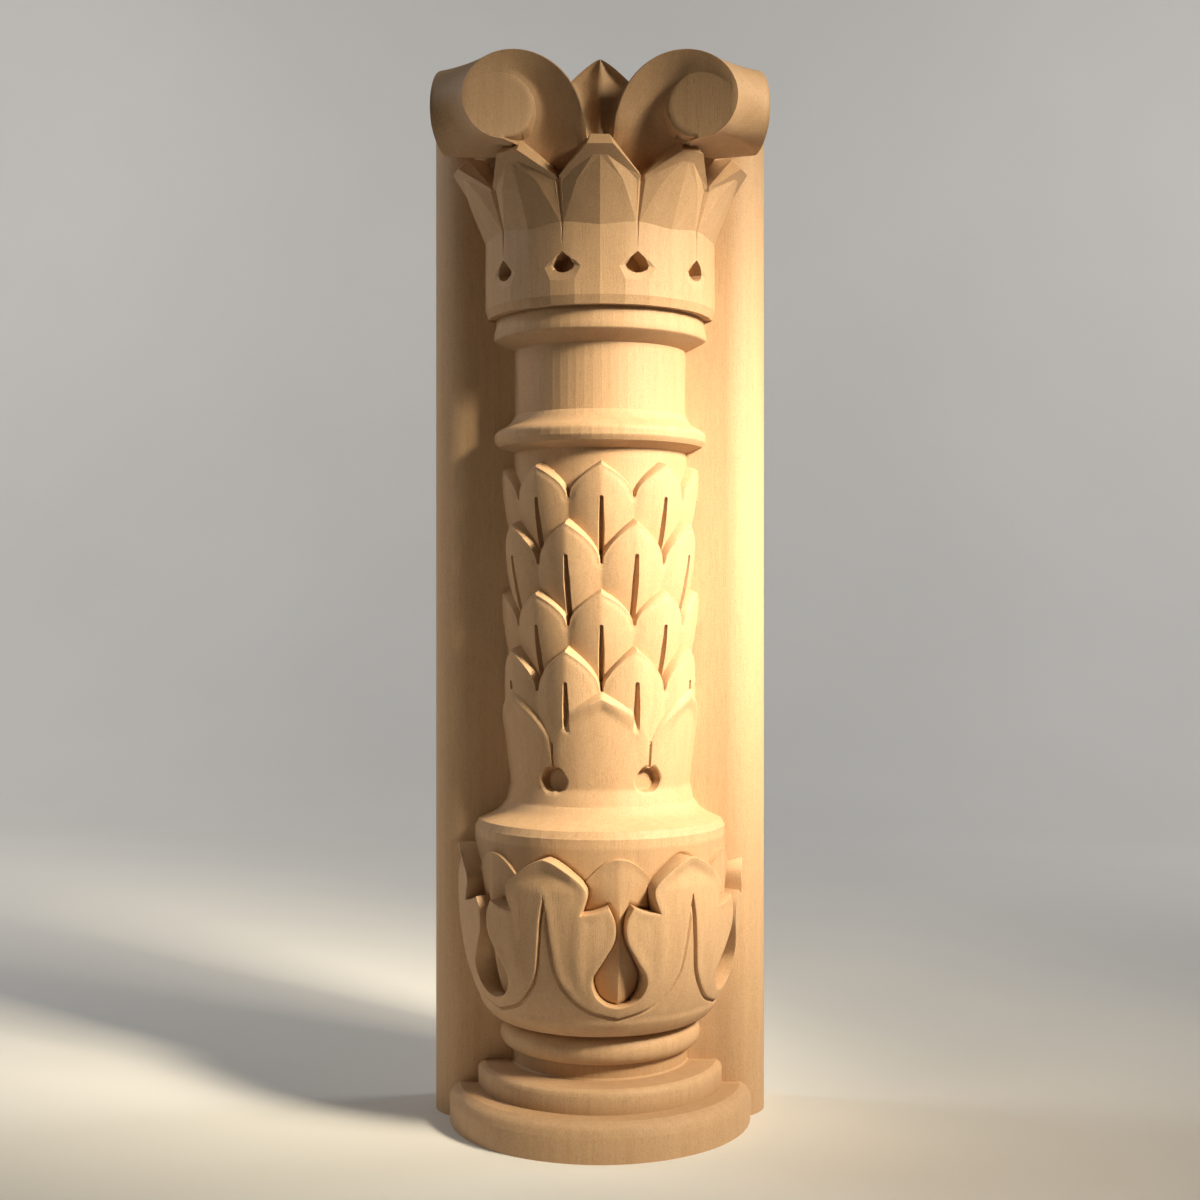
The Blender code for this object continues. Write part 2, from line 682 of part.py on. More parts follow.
def offset(line, gap):
    """A line beside another, gap away to its left."""
    line = [np.asarray(p, float) for p in line]
    out = []
    for i, spot in enumerate(line):
        ahead = line[min(i + 1, len(line) - 1)] - line[max(i - 1, 0)]
        ahead = ahead / max(float(np.hypot(*ahead)), 1e-9)
        out.append(spot + gap * np.array((-ahead[1], ahead[0])))
    return out


def bowl_lines():
    """The leaf edges of the bowl, drawn unrolled."""
    lobe, shoulder, drop, cup = bowl_outline(BOWL_STEPS)
    top = H_BOWL + FRONT_LEAF_TOP
    edge = [(a, BACK_LEAF_ARCH * a * a) for a in np.linspace(0.0, BACK_LEAF_HALF, 6)]
    lines = []
    for angle in around(BOWL_LEAVES, BOWL_TURN, SWEEP - BOWL_MARGIN):
        x = angle * BOWL_DEGREE
        for side in (-1, 1):
            for line in (lobe, shoulder, drop, cup, offset(lobe, -LEAF_WALL), offset(shoulder, -LEAF_WALL),
                         offset(drop, -LEAF_WALL), offset(cup, LEAF_WALL), offset(cup, TONGUE_FLANK)):
                lines.append([(x + side * p[0], p[1]) for p in line])
            lines.append([(x + side * a, top - d) for a, d in edge])
            lines.append([(x + side * a, top - d - BACK_LEAF_EDGE) for a, d in edge])
        lines.append([(x, top - BACK_LEAF_EDGE), (x, drop[-1][1] + 1.0)])
    return lines


def foot_profile():
    """From the floor up to the start of the bowl's leaves, as (height, radius) pairs."""
    profile = [(0.0, DISC_R), (H_DISC_WALL, DISC_R),
               (H_DISC_WALL + DISC_BULGE_UP * DISC_SHOULDER, DISC_R - DISC_BULGE_IN * DISC_BEVEL),
               (H_DISC, DISC_R - DISC_BEVEL), (H_DISC, STEP_R), (H_STEP_WALL, STEP_R),
               (H_STEP, STEP_R - STEP_BEVEL), (H_STEP, FOOT_NECK_R), (H_TORUS, FOOT_NECK_R)]
    for turn in np.radians(np.linspace(-TORUS_SWEEP, TORUS_SWEEP, TORUS_STEPS)):
        swell = (TORUS_R - FOOT_NECK_R) * math.cos(turn)
        profile.append((H_TORUS + TORUS * 0.5 * (1.0 + math.sin(turn)), FOOT_NECK_R + swell))
    profile += [(H_TORUS + TORUS, FOOT_NECK_R + TORUS_FILLET), (H_BOWL, FOOT_NECK_R + TORUS_FILLET)]
    for turn in np.radians(np.linspace(90.0, BOWL_PLAIN_BELOW, UNDERSIDE_STEPS)):
        height = H_BOWL_FULL - BOWL_ROUND * math.sin(turn)
        profile.append((height, float(bowl_leaf_surface(np.array(height)))))
    profile[-1] = (bowl_carve_foot(), profile[-1][1])
    return profile


def waist_profile():
    """From the bowl's leaves up to the shaft's leaves."""
    return [(H_BOWL_WALL, BOWL_RIM_R), (H_BOWL_RIM, BOWL_RIM_R), (H_LIP, CAVETTO_LIP_R),
            (H_HOLLOW, CAVETTO_MID_R), (H_HOLLOW_TOP, CAVETTO_UPPER_R)]


def neck_profile():
    """From the shaft's leaves up into the bell."""
    return [(H_RING, SHAFT_R), (H_RING_WALL - RING_LIP, RING_R - RING_ROUND), (H_RING_WALL, RING_R),
            (H_RING_TOP - RING_ARRIS_BELOW, RING_R), (H_RING_TOP + RING_ARRIS_ABOVE, RING_R - RING_ROUND),
            (H_RING_TOP + COVE_UP * RING_TOP, NECK_R + COVE_OUT * (RING_R - NECK_R)), (H_NECK, NECK_R),
            (H_COLLAR, NECK_R), (H_COLLAR_WALL, COLLAR_R), (H_COLLAR_TOP, COLLAR_R),
            (H_GROOVE, COLLAR_R - COLLAR_ROUND), (H_BELL + INTO_BELL, COLLAR_R - COLLAR_ROUND)]


def column():
    """The turned and carved column from the floor up into the bell."""
    angles = [SWEEP * (2.0 * k / TURN_STEPS - 1.0) for k in range(TURN_STEPS + 1)]
    skin = Skin()
    skin.turned(foot_profile(), angles)
    carve(skin, bowl_carve_foot(), H_BOWL_WALL, angles, BOWL_ROLL, bowl_radius, bowl_lines(), CARVE_STEP)
    skin.turned(waist_profile(), angles)
    carve(skin, H_HOLLOW_TOP, H_RING, angles, SHAFT_ROLL, shaft_radius, shaft_lines(), CARVE_STEP)
    skin.turned(neck_profile(), angles)
    skin.close(-SWEEP, SWEEP, 0.0, H_BELL + INTO_BELL)
    return skin.mesh("column")


def crown_lines():
    """Half a crown leaf with the bell below it, as lines of (angle, height, radius).

    Angles run from the leaf's mid-line to the slit beside it. The facets are flat, as a knife leaves them.
    """
    edge = 180.0 / CROWN_LEAVES
    facet = edge * 2.0 / 3.0
    slit = edge - CROWN_SLIT

    def out(share):
        return BELL_R + CROWN_REACH * share

    def up(share):
        return H_BEND + CROWN_RISE * share

    low_r = BELL_R - BELL_CHAMFER_IN
    eye = H_BEND - BELL_EYE_BELOW_BEND
    bend_mid = H_BEND + BEND_RISE_MID
    bend_edge = H_BEND + BEND_RISE_EDGE
    tip = up(1.0)
    lines = [
        [(0, H_BELL, low_r), (facet, H_BELL, low_r), (edge, H_BELL, low_r)],
        [(0, H_BELL_EDGE, BELL_R), (facet, H_BELL_EDGE, BELL_R), (edge, H_BELL_EDGE, BELL_R)],
        [(0, H_BEND, BELL_R), (facet, bend_mid, BELL_R), (slit, bend_edge, BELL_R),
         (edge, bend_edge, BELL_R - CROWN_SLIT_DEPTH)],
        [(slit, bend_edge, BELL_R), (edge * 0.91, up(0.61), out(0.345))],
        [(0, up(0.88), out(0.76)), (edge * 0.145, up(0.88), out(0.76)), (edge * 0.58, up(0.735), out(0.5)),
         (edge * 0.905, up(0.605), out(0.325))],
        [(facet, bend_mid, BELL_R), (edge * 0.53, up(0.575), out(0.445)),
         (edge * 0.145, up(0.88), out(0.76))],
        [(edge * 0.53, up(0.575), out(0.445)), (edge * 0.905, up(0.605), out(0.325))],
        [(0, tip, out(1.0)), (edge * 0.26, tip, out(1.0)), (edge * 0.955, up(0.655), out(0.4))],
        [(0, tip + CROWN_LIP, out(0.7)), (edge * 0.2, tip + CROWN_LIP, out(0.7)),
         (edge * 0.955, up(0.68), out(0.36))],
        [(0, tip + CROWN_LIP + 0.5, KALATHOS_R), (edge * 0.23, tip + CROWN_LIP + 0.5, KALATHOS_R),
         (edge * 0.97, up(0.7), KALATHOS_R), (edge, up(0.7), KALATHOS_R)],
        [(edge, bend_edge, BELL_R - CROWN_SLIT_DEPTH), (edge, up(0.62), out(0.24))],
        [(0, H_KALATHOS, KALATHOS_R), (facet, H_KALATHOS, KALATHOS_R), (edge, H_KALATHOS, KALATHOS_R)],
        [(0, H_BELL_EDGE, BELL_R), (0, H_BEND, BELL_R)],
        [(facet, H_BELL_EDGE, BELL_R), (facet, eye - 8.6, BELL_R)],
        [(facet, eye + 1.9, BELL_R), (facet, bend_mid, BELL_R)],
        [(0, H_BEND, BELL_R), (0, up(0.88), out(0.76)), (0, tip, out(1.0))],
    ]
    rim = [(1.0, 6.8), (0.82, 3.8), (0.675, -0.6), (0.72, -2.9), (0.86, -4.5), (1.0, -4.9)]
    rim = [(edge * a, eye + h, BELL_R - (0.0 if h > 3 else 0.9)) for a, h in rim]
    floor = [(edge - (edge - a) * 0.8, eye + (h - eye) * 0.8, BELL_R - BELL_EYE_DEPTH) for a, h, _ in rim]
    dish = [(edge * 0.74, eye + 2.4, BELL_R), (facet, eye + 1.9, BELL_R), (edge * 0.5, eye - 1.6, BELL_R),
            (facet, eye - 8.6, BELL_R), (edge, eye - 9.2, BELL_R)]
    lines += [rim, floor, [rim[1]] + dish]
    return lines


def crown():
    """The bell and its leaves: half a leaf is triangulated, mirrored and set round the axis."""
    places, points, chains = {}, [], []
    for line in crown_lines():
        chain = []
        for angle, height, radius in line:
            key = (round(angle, 4), round(height, 4))
            if key not in places:
                places[key] = len(points)
                points.append((angle, height, radius))
            chain.append(places[key])
        chains.append(chain)
    edge = 180.0 / CROWN_LEAVES
    for side in (0.0, edge):
        column_of = sorted((p[1], i) for i, p in enumerate(points) if abs(p[0] - side) < 1e-6)
        chains.append([i for _, i in column_of])
    flat = [(a * math.radians(1.0) * BELL_R, h) for a, h, _ in points]
    _, faces, origins = triangulate(flat, chains)
    skin = Skin()
    for leaf in range(-2, 3):
        for side in (-1, 1):
            made = []
            for origin in origins:
                angle, height, radius = points[origin[0]]
                made.append(skin.point(leaf * 2 * edge + side * angle, height, radius))
            for loop in faces:
                skin.face([made[i] for i in loop])
    skin.close(-5 * edge, 5 * edge, H_BELL, H_KALATHOS)
    return skin.mesh("crown")


def scroll_outline():
    """The face of a corner scroll round its eye: (towards the middle, up, share of the turn) points."""
    line = []
    for turn in np.linspace(0.0, SCROLL_TURNS, SCROLL_STEPS):
        reach = SCROLL_EDGE_R + SCROLL_GROWTH * turn ** SCROLL_POWER
        angle = math.radians(270.0 - 90.0 * turn)
        line.append((reach * math.cos(angle), reach * math.sin(angle), turn))
    for x, z in STEM:
        line.append((x, z, (270.0 - math.degrees(math.atan2(z, x))) / 90.0))
    return line


def scroll_depth(x, z):
    """How far in front of the axis the scroll's face lies, x towards the middle and z up from its eye."""
    face = SCROLL_FACE + SCROLL_FACE_HOLLOW * (SCROLL_X - x) ** 2
    lean = STEM_LEAN * (max(0.0, STEM_LEAN_TOP - z) / STEM_LEAN_OVER) ** 2
    return face - lean * float(smooth_step(x / STEM_EASE))


def scroll(side):
    """A corner scroll: its front face, the same face turned to the side, and the rim ruled between."""
    outline = scroll_outline()
    rings = []
    for share in (0.0, 0.04, 0.45, 1.0):
        ring = []
        for x, z, turn in outline:
            angle = math.atan2(z, x)
            outer = math.hypot(x, z) - SCROLL_SEAM
            apart = float(smooth_step((turn - 0.9) / 0.7))
            eye = outer + (min(SCROLL_EYE_R, outer) - outer) * apart
            ex, ez = eye * math.cos(angle), eye * math.sin(angle)
            px, pz = ex + (x - ex) * share, ez + (z - ez) * share
            if share == 0.0:
                depth = SCROLL_FACE + SCROLL_FACE_HOLLOW * (SCROLL_X - px) ** 2
            else:
                sink = SCROLL_SINK * float(smooth_step((turn - 1.0) / 1.5))
                depth = scroll_depth(px, pz) - sink * (1.0 - share) ** 1.5
            ring.append((px, depth, pz))
        rings.append(ring)
    centre = (0.0, SCROLL_FACE + SCROLL_FACE_HOLLOW * SCROLL_X ** 2, 0.0)
    count = len(outline)
    spots, faces = [], []

    def add(ring, turned):
        start = len(spots)
        for x, depth, z in ring:
            across, out = SCROLL_X - x, depth
            if turned:
                across, out = out, across
            spots.append((side * across * MM, -out * MM, (H_SCROLL_EYE + z) * MM))
        return start

    def bridge(a, b):
        for i in range(count):
            j = (i + 1) % count
            faces.append([a + i, a + j, b + j, b + i])

    starts = {}
    for turned in (False, True):
        hub = add([centre], turned)
        bands = [add(ring, turned) for ring in rings]
        faces.extend([hub, bands[0] + i, bands[0] + (i + 1) % count] for i in range(count))
        for a, b in zip(bands, bands[1:]):
            bridge(a, b)
        starts[turned] = bands[-1]
    before = starts[False]
    for share in (0.25, 0.5, 0.75):
        after = len(spots)
        for i, (x, z, turn) in enumerate(outline):
            front, back = spots[starts[False] + i], spots[starts[True] + i]
            bend = 4.0 * share * (1.0 - share)
            pull = SCROLL_RIM_HOLLOW * bend / math.hypot(x, z) * MM * (1.0 if turn < STEM_FROM else 0.0)
            inward = x * pull * math.sqrt(0.5)
            stem = float(smooth_step((min(turn, 8.0 - turn) - STEM_FROM) / STEM_OVER))
            shrink = 1.0 - STEM_HOLLOW * bend * stem
            spots.append((((1.0 - share) * front[0] + share * back[0]) * shrink + side * inward,
                          ((1.0 - share) * front[1] + share * back[1]) * shrink - inward,
                          front[2] - z * pull))
        bridge(before, after)
        before = after
    bridge(before, starts[True])
    return solid("scroll", spots, faces)


def middle_leaf():
    """The pointed leaf between the scrolls, with a rib and two hollows."""
    rows = (-MID_LEAF_BODY, -24.0, -MID_LEAF_POINT, -10.0, -7.2, -4.6, -2.2, -0.8)
    columns = (-1.0, -0.7, -0.35, -0.08, 0.08, 0.35, 0.7, 1.0)
    spots, faces = [], []
    levels = []
    top = H_SCROLL_TOP + MID_LEAF_ABOVE_SCROLLS
    for drop in rows:
        half = MID_LEAF_HALF * min(1.0, (-drop / MID_LEAF_POINT)) ** MID_LEAF_CURVE
        below = max(0.0, (-drop - MID_LEAF_POINT) / (MID_LEAF_BODY - MID_LEAF_POINT))
        half *= 1.0 - MID_LEAF_TAPER * below
        height = top + drop
        back = MID_LEAF_FACE - MID_LEAF_THICK if height > H_KALATHOS else KALATHOS_R - MID_LEAF_ROOT
        front_row, back_row = [], []
        for share in columns:
            hollow = MID_LEAF_HOLLOW * math.sin(math.pi * abs(share) ** MID_LEAF_RIB)
            hollow *= min(1.0, half / MID_LEAF_DEEP_FROM)
            front_row.append(len(spots))
            spots.append((share * half * MM, -(MID_LEAF_FACE - hollow) * MM, height * MM))
        for share in columns:
            back_row.append(len(spots))
            spots.append((share * half * MM, -back * MM, height * MM))
        levels.append((front_row, back_row))
    tip = len(spots)
    spots.append((0.0, -MID_LEAF_FACE * MM, top * MM))
    tip_back = len(spots)
    spots.append((0.0, -(MID_LEAF_FACE - MID_LEAF_THICK) * MM, top * MM))
    for (front_a, back_a), (front_b, back_b) in zip(levels, levels[1:]):
        for row_a, row_b in ((front_a, front_b), (back_a, back_b)):
            for i in range(len(columns) - 1):
                faces.append([row_a[i], row_a[i + 1], row_b[i + 1], row_b[i]])
        for end in (0, -1):
            faces.append([front_a[end], front_b[end], back_b[end], back_a[end]])
    front, back = levels[-1]
    for i in range(len(columns) - 1):
        faces.append([front[i], front[i + 1], tip])
        faces.append([back[i], back[i + 1], tip_back])
    faces.append([front[0], tip, tip_back, back[0]])
    faces.append([front[-1], tip, tip_back, back[-1]])
    front, back = levels[0]
    faces.append(front + back[::-1])
    return solid("middle_leaf", spots, faces)


def board():
    """The back board with rounded front edges, full height."""
    half = BOARD_WIDTH / 2
    outline = [(-half, BOARD_BACK), (half, BOARD_BACK)]
    for side in (1, -1):
        turns = np.radians(np.linspace(0.0, 90.0, BOARD_STEPS))
        arc = [(side * (half - BOARD_CORNER + BOARD_CORNER * math.cos(t)),
                -BOARD_FRONT + BOARD_CORNER * (1.0 - math.sin(t))) for t in turns]
        outline += arc if side > 0 else arc[::-1]
    count = len(outline)
    spots = [(x * MM, y * MM, h * MM) for h in (0.0, H_TOP) for x, y in outline]
    faces = [list(range(count)), list(range(count, 2 * count))]
    faces += [[i, (i + 1) % count, count + (i + 1) % count, count + i] for i in range(count)]
    return solid(NODE, spots, faces)


def unite(body, parts):
    """Joins the parts to the body as one solid and removes them."""
    for part in parts:
        joint = body.modifiers.new(part.name, "BOOLEAN")
        joint.operation = "UNION"
        joint.solver = "EXACT"
        joint.object = part
    graph = bpy.context.evaluated_depsgraph_get()
    united = bpy.data.meshes.new_from_object(body.evaluated_get(graph))
    body.modifiers.clear()
    body.data = united
    for part in parts:
        bpy.data.objects.remove(part)


def tidy(body):
    """Merges points that a joint left almost together and shades the round parts smooth.

    The bell and its leaves keep the flat facets that the knife left.
    """
    work = bmesh.new()
    work.from_mesh(body.data)
    bmesh.ops.dissolve_degenerate(work, edges=work.edges, dist=MERGE)
    bmesh.ops.remove_doubles(work, verts=work.verts, dist=MERGE)
    bmesh.ops.triangulate(work, faces=work.faces)
    for face in work.faces:
        face.smooth = True
    for edge in work.edges:
        heights = [end.co.z / MM for end in edge.verts]
        faceted = min(heights) > H_BELL - 0.1 and max(heights) < H_BEND + CROWN_RISE + CROWN_LIP + 0.1
        limit = math.radians(BELL_SHARP if faceted else SHARP)
        edge.smooth = edge.calc_face_angle(math.pi) < limit
    work.to_mesh(body.data)
    work.free()


def pale_wood():
    """Unfinished light wood."""
    wood = bpy.data.materials.new("pale_wood")
    wood.use_nodes = True
    shader = wood.node_tree.nodes["Principled BSDF"]
    shader.inputs["Base Color"].default_value = (0.47, 0.35, 0.25, 1.0)
    shader.inputs["Roughness"].default_value = 0.62
    shader.inputs["Metallic"].default_value = 0.0
    return wood


def main():
    for thing in list(bpy.data.objects):
        bpy.data.objects.remove(thing)
    body = board()
    unite(body, [column(), crown(), scroll(-1), scroll(1), middle_leaf()])
    tidy(body)
    body.data.name = NODE
    body.data.materials.clear()
    body.data.materials.append(pale_wood())


main()
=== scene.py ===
"""Looks of a carved colonette: a leaf-clad half column before a tall board, all in bare pale wood.

The carving repeats the solid's forms with finer relief: gouged hollows, rolled rims, undercut tips.
Lengths of the carving are in millimetres. Those of the eye point, lamps, sweep and wood are in metres.
Angles are in degrees round the column axis, 0 at the front, growing to +X.
"""
import math

import bmesh
import bpy
import numpy as np
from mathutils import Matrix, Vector
from mathutils.geometry import delaunay_2d_cdt
from mathutils.kdtree import KDTree


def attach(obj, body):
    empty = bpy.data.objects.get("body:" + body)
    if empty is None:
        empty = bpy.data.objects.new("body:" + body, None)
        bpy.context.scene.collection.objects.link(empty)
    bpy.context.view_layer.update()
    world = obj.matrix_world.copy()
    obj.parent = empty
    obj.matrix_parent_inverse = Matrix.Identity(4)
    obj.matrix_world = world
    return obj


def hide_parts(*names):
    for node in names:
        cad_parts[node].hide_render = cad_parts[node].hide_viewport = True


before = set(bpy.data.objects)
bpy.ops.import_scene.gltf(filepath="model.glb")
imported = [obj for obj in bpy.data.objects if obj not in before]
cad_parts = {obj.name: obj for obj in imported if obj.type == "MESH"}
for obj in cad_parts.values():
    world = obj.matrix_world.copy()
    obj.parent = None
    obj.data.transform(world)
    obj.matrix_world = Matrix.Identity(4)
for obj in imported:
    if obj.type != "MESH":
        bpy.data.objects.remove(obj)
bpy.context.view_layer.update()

MM = 0.001

# Back board
BOARD_WIDTH = 194.4
BOARD_FRONT = 7.8
BOARD_BACK = 40.8
BOARD_CORNER = 24.5
BOARD_ABOVE_SCROLLS = 8.0
BOARD_ARRIS = 0.7
BOARD_STEPS = 26

# Round foot: disc, step, short neck and torus
DISC_R = 87.4
DISC_WALL = 13.0
DISC_SHOULDER = 8.1
DISC_BEVEL = 6.2
STEP_R = 70.9
STEP_WALL = 9.3
STEP_SHOULDER = 3.9
STEP_BEVEL = 3.4
FOOT_NECK_R = 50.8
FOOT_NECK = 8.7
TORUS_R = 58.4
TORUS = 16.4
TORUS_GAP = 0.6

# Bowl and its leaves
BOWL_FOOT_R = 56.6
BOWL_R = 82.6
BOWL_ROUND = 76.5
BOWL_STRAIGHT = 29.5
BOWL_PLAIN_BELOW = 62.0
BOWL_RIM_SINK = 9.9
BOWL_RIM = 4.3
BOWL_LEAVES = 6
BOWL_TURN = 8.0
FRONT_LEAF_TOP = 100.4
LEAF_WALL = 0.3
LEAF_ROUND = 0.45
LEAF_HOLLOW = 0.55
LEAF_HOLLOW_WIDE = 6.0
HOLLOW_FADE_FROM = 0.60
HOLLOW_FADE = 0.18
LEAF_DISH = 1.1
LEAF_DISH_WIDE = 7.0
LEAF_DISH_FOOT = 8.0
LEAF_DISH_EASE = 10.0
LEAF_FOOT_CUT = 1.5
LEAF_FOOT_WIDE = 1.6
BACK_LEAF_SINK = 6.2
BACK_LEAF_KEEL = 0.12
BACK_LEAF_KEEL_BELOW = 0.28
BACK_LEAF_KEEL_FROM = 0.4
BACK_LEAF_ARCH = 0.032
BACK_LEAF_HALF = 22.0
BACK_LEAF_EDGE = 0.6
BACK_LEAF_HOLLOW = 0.5
BACK_LEAF_HOLLOW_WIDE = 5.0
TONGUE_SINK = 0.9
TONGUE_GROOVE = 2.0
TONGUE_FLANK = 2.4
TONGUE_EASE = 4.0

# Hollow moulding between the bowl and the shaft
CAVETTO_CHAMFER = 4.1
CAVETTO_LIP_IN = 2.1
CAVETTO_MID = 5.2
CAVETTO_MID_R = 60.1
CAVETTO_UPPER = 5.9
CAVETTO_UPPER_R = 54.9
CAVETTO_TOP = 9.3

# Shaft, its tall lower leaves and its four rows of scale leaves
SHAFT_R = 50.5
SHAFT = 189.8
SHAFT_FOOT_R = 52.6
SHAFT_TURN = 0.8
TALL_LEAVES = 6
TALL_TIP = 55.0
TALL_POINT = 34.0
TALL_TIP_R = 59.8
TALL_BODY_R = 57.6
TALL_RIM = 4.1
TALL_UNDERCUT = 7.5
TALL_SLIT = 0.8
TALL_SLIT_DEPTH = 1.8
TALL_CURVE = 2.1
EYE_ANGLE = 27.5
EYE_HEIGHT = 5.4
EYE_HALF = 6.4
EYE_TALL = 7.2
EYE_DEPTH = 6.0
EYE_FLANK = 0.14
EYE_LIP = 0.16
EYE_LIP_DEPTH = 0.7
EYE_NARROWING = 0.35
EYE_STEPS = 28
SCALE_LEAVES = 9
SCALE_BELOW_RING = 7.1
SCALE_ROW_STEPS = (0.0, 32.1, 39.1, 31.6)
SCALE_POINTS = (19.8, 24.5, 19.8, 24.5)
SCALE_PROUDS = (7.0, 8.5, 7.0, 8.5)
SCALE_LEANS = (5.4, 5.4, 5.4, 2.0)
SCALE_LEAN_OVER = 41.7
SCALE_EDGE = 3.6
SCALE_RIM = 2.8
RIM_NARROWS = 0.6
SCALE_KEEL = 2.8
SCALE_KEEL_POWER = 1.2
SCALE_CURVE = 1.8
SCALE_HOLLOW = 0.4
HOLLOW_BEHIND_RIM = 0.9
HOLLOW_HALF = 1.1
SLOT_DROP = 19.8
SLOT_TOP_HALF = 1.2
SLOT_HALF = 1.9
SLOT_WIDENS = 16.0
SLOT_DEPTH = 4.0
SLOT_FLANK = 0.62
LAST_SLOT_FOOT = 28.0
LAST_SLOT_FADE = 15.0

# Ring under the neck, the neck, and the moulding under the bell
RING_R = 61.6
RING_UNDERSIDE = 6.1
RING_WALL = 6.1
RING_TOP = 9.4
RING_ROUND = 2.0
NECK_R = 50.2
NECK = 37.1
COLLAR_R = 61.9
COLLAR_UNDERSIDE = 6.1
COLLAR_WALL = 3.5
COLLAR_TOP = 5.2
COLLAR_ROUND = 1.2
GROOVE = 3.4
INTO_BELL = 8.0

# Bell and crown leaves
CROWN_LEAVES = 10
BELL_R = 67.0
BELL_CHAMFER = 4.9
BELL_CHAMFER_IN = 1.6
BELL_WALL = 37.7
CROWN_REACH = 19.4
CROWN_RISE = 38.7
CROWN_LIP = 6.6
CROWN_SHOULDER = 1.7
CROWN_SLIT = 0.7
CROWN_SLIT_FOOT = 2.2
CROWN_SLIT_IN = 0.8
BELL_EYE_BELOW_BEND = 20.6
BELL_DISH_ABOVE = 1.9
BELL_DISH_BELOW = 8.6
BELL_EYE_DEPTH = 10.0
KALATHOS_R = 60.0
KALATHOS_BELOW_SCROLLS = 8.5

# Corner scrolls
SCROLL_X = 52.4
SCROLL_ABOVE_BEND = 59.7
SCROLL_EYE_R = 17.2
SCROLL_EDGE_R = 18.3
SCROLL_GROWTH = 2.1
SCROLL_POWER = 2.25
SCROLL_FACE = 83.4
SCROLL_FACE_HOLLOW = 0.00158
SCROLL_RIM_HOLLOW = 4.6
SCROLL_TOP_HOLLOW = 1.2
SCROLL_SINK = 3.6
BAND_SLOPE = 1.5
EYE_TILT = 0.15
EYE_INSET = 0.4
STEM_HOLLOW = 0.26
STEM_LEAN = 33.0
STEM_LEAN_TOP = 28.0
STEM_LEAN_OVER = 62.5
STEM_EASE = 12.0
STEM_LIFT = 5.0
STEM = ((48.0, -32.7), (48.0, -38.5), (28.0, -34.0), (20.5, -25.4), (13.2, -17.0), (6.5, -17.8))
SCROLL_STEPS = 64
SCROLL_EDGE_STEPS = (0.0, 0.33, 0.67)

# Where each form of a scroll starts or ends and over how much it eases, in quarter turns round its eye:
# 0 is straight below the eye, 2 straight above it, 3 towards the middle leaf
SCROLL_END = 3.144
EYE_APART = (0.9, 0.7)
EYE_ROUNDED = (1.9, 0.9)
BAND_SUNK = (1.9, 1.1)
BAND_SUNK_TO = (3.75, 0.5)
BAND_GROWS_TO = 3.0
RIM_HOLLOW_TO = (3.1, 0.25)
STEM_FROM = (3.1, 0.55)
STEM_MIDDLE = 8.0

# How far each ring of the scroll's face lies out: in the eye, then from the eye's edge to the outline
EYE_RINGS = (0.3, 0.55, 0.75, 0.88, 0.95, 0.985, 1.0)
BAND_RINGS = (0.03, 0.07, 0.12, 0.18, 0.25, 0.33, 0.47, 0.62, 0.77, 0.9, 0.97, 1.0)
EYE_EDGE_ROUND = 1.4
EYE_ROUND_WIDE = 0.15
EYE_WALL = 0.25
OUTLINE_ROUND = 0.5
OUTLINE_ROUND_WIDE = 0.03
RIM_ROWS = 14

# Over what height the scroll's rim changes from its side to its top, and the stretch of stem that is lifted
RIM_TOP_EASE = 24.0
STEM_LIFT_FROM = (2.0, 4.0)
STEM_LIFT_TO = (24.0, 6.0)

# Leaf between the scrolls
MID_LEAF_ABOVE_SCROLLS = 1.0
MID_LEAF_HALF = 16.3
MID_LEAF_POINT = 12.8
MID_LEAF_BODY = 50.0
MID_LEAF_FACE = 68.9
MID_LEAF_HOLLOW = 2.6
MID_LEAF_THICK = 3.2
MID_LEAF_RIB = 1.25
MID_LEAF_ROUND = 0.77
MID_LEAF_TAPER = 0.7
MID_LEAF_FLATTENS = 9.0
MID_LEAF_INTO_CORE = 4.0
MID_LEAF_COLUMNS = (1.0, 0.93, 0.82, 0.68, 0.52, 0.36, 0.22, 0.11, 0.05)

# Facets left by the turning
FACETS = 65
FACET_START = 1.3
FACET_EACH_SIDE = 18

# How finely the carving is divided: the grid, the lines drawn on it, and how far these keep apart
CARVE_STEP = 1.35
ROW_RISE = 0.87
CARVE_CLEAR = 0.5
CARVE_SIDE = 0.5
OUTLINE_STEPS = 9
LINES_REACH = 100.0
RIM_LINES = (0.2, 0.45, 0.7, 1.0)
RIM_LINES_INSIDE = 0.05
LINES_APART = 0.3
PAST_EYE = 0.5

# How near points lie to a border, or to each other, when they are taken as the same
BORDER_GAP = 0.001
WELD = 0.0001
JOINT_GAP = 0.01

# From which angle between two faces their edge stays crisp: anywhere, between facets, on the bell
SHARP = 28.0
FACET_SHARP = 3.5
BELL_SHARP = 8.5

# How deep under the outer faces the painted shade starts to darken the wood, and over what depth it does
PAINTED_SHADE_FROM = 1.5
PAINTED_SHADE_OVER = 9.0

# The eye point of the picture, in metres: level, on the column's middle, at half height
EYE_BACK = 0.9624
EYE_UP = 0.3
FOCAL = 49.455

# Lamps on the carving, all of one warm colour. Each is aimed at a height on the column's axis.
# Name, azimuth, elevation and distance (m) from there, that height (m), size (m), watts and spread
WARM = (1.0, 0.87, 0.64)
CARVING_LAMPS = (("key_lamp", 60.0, 35.0, 1.25, 0.26, 0.20, 1.32, 60.0),
                 ("shaft_lamp", 52.0, 30.0, 0.98, 0.26, 0.15, 0.95, 34.0),
                 ("left_fill", -50.0, 20.0, 1.2, 0.27, 0.30, 0.09, 34.0))

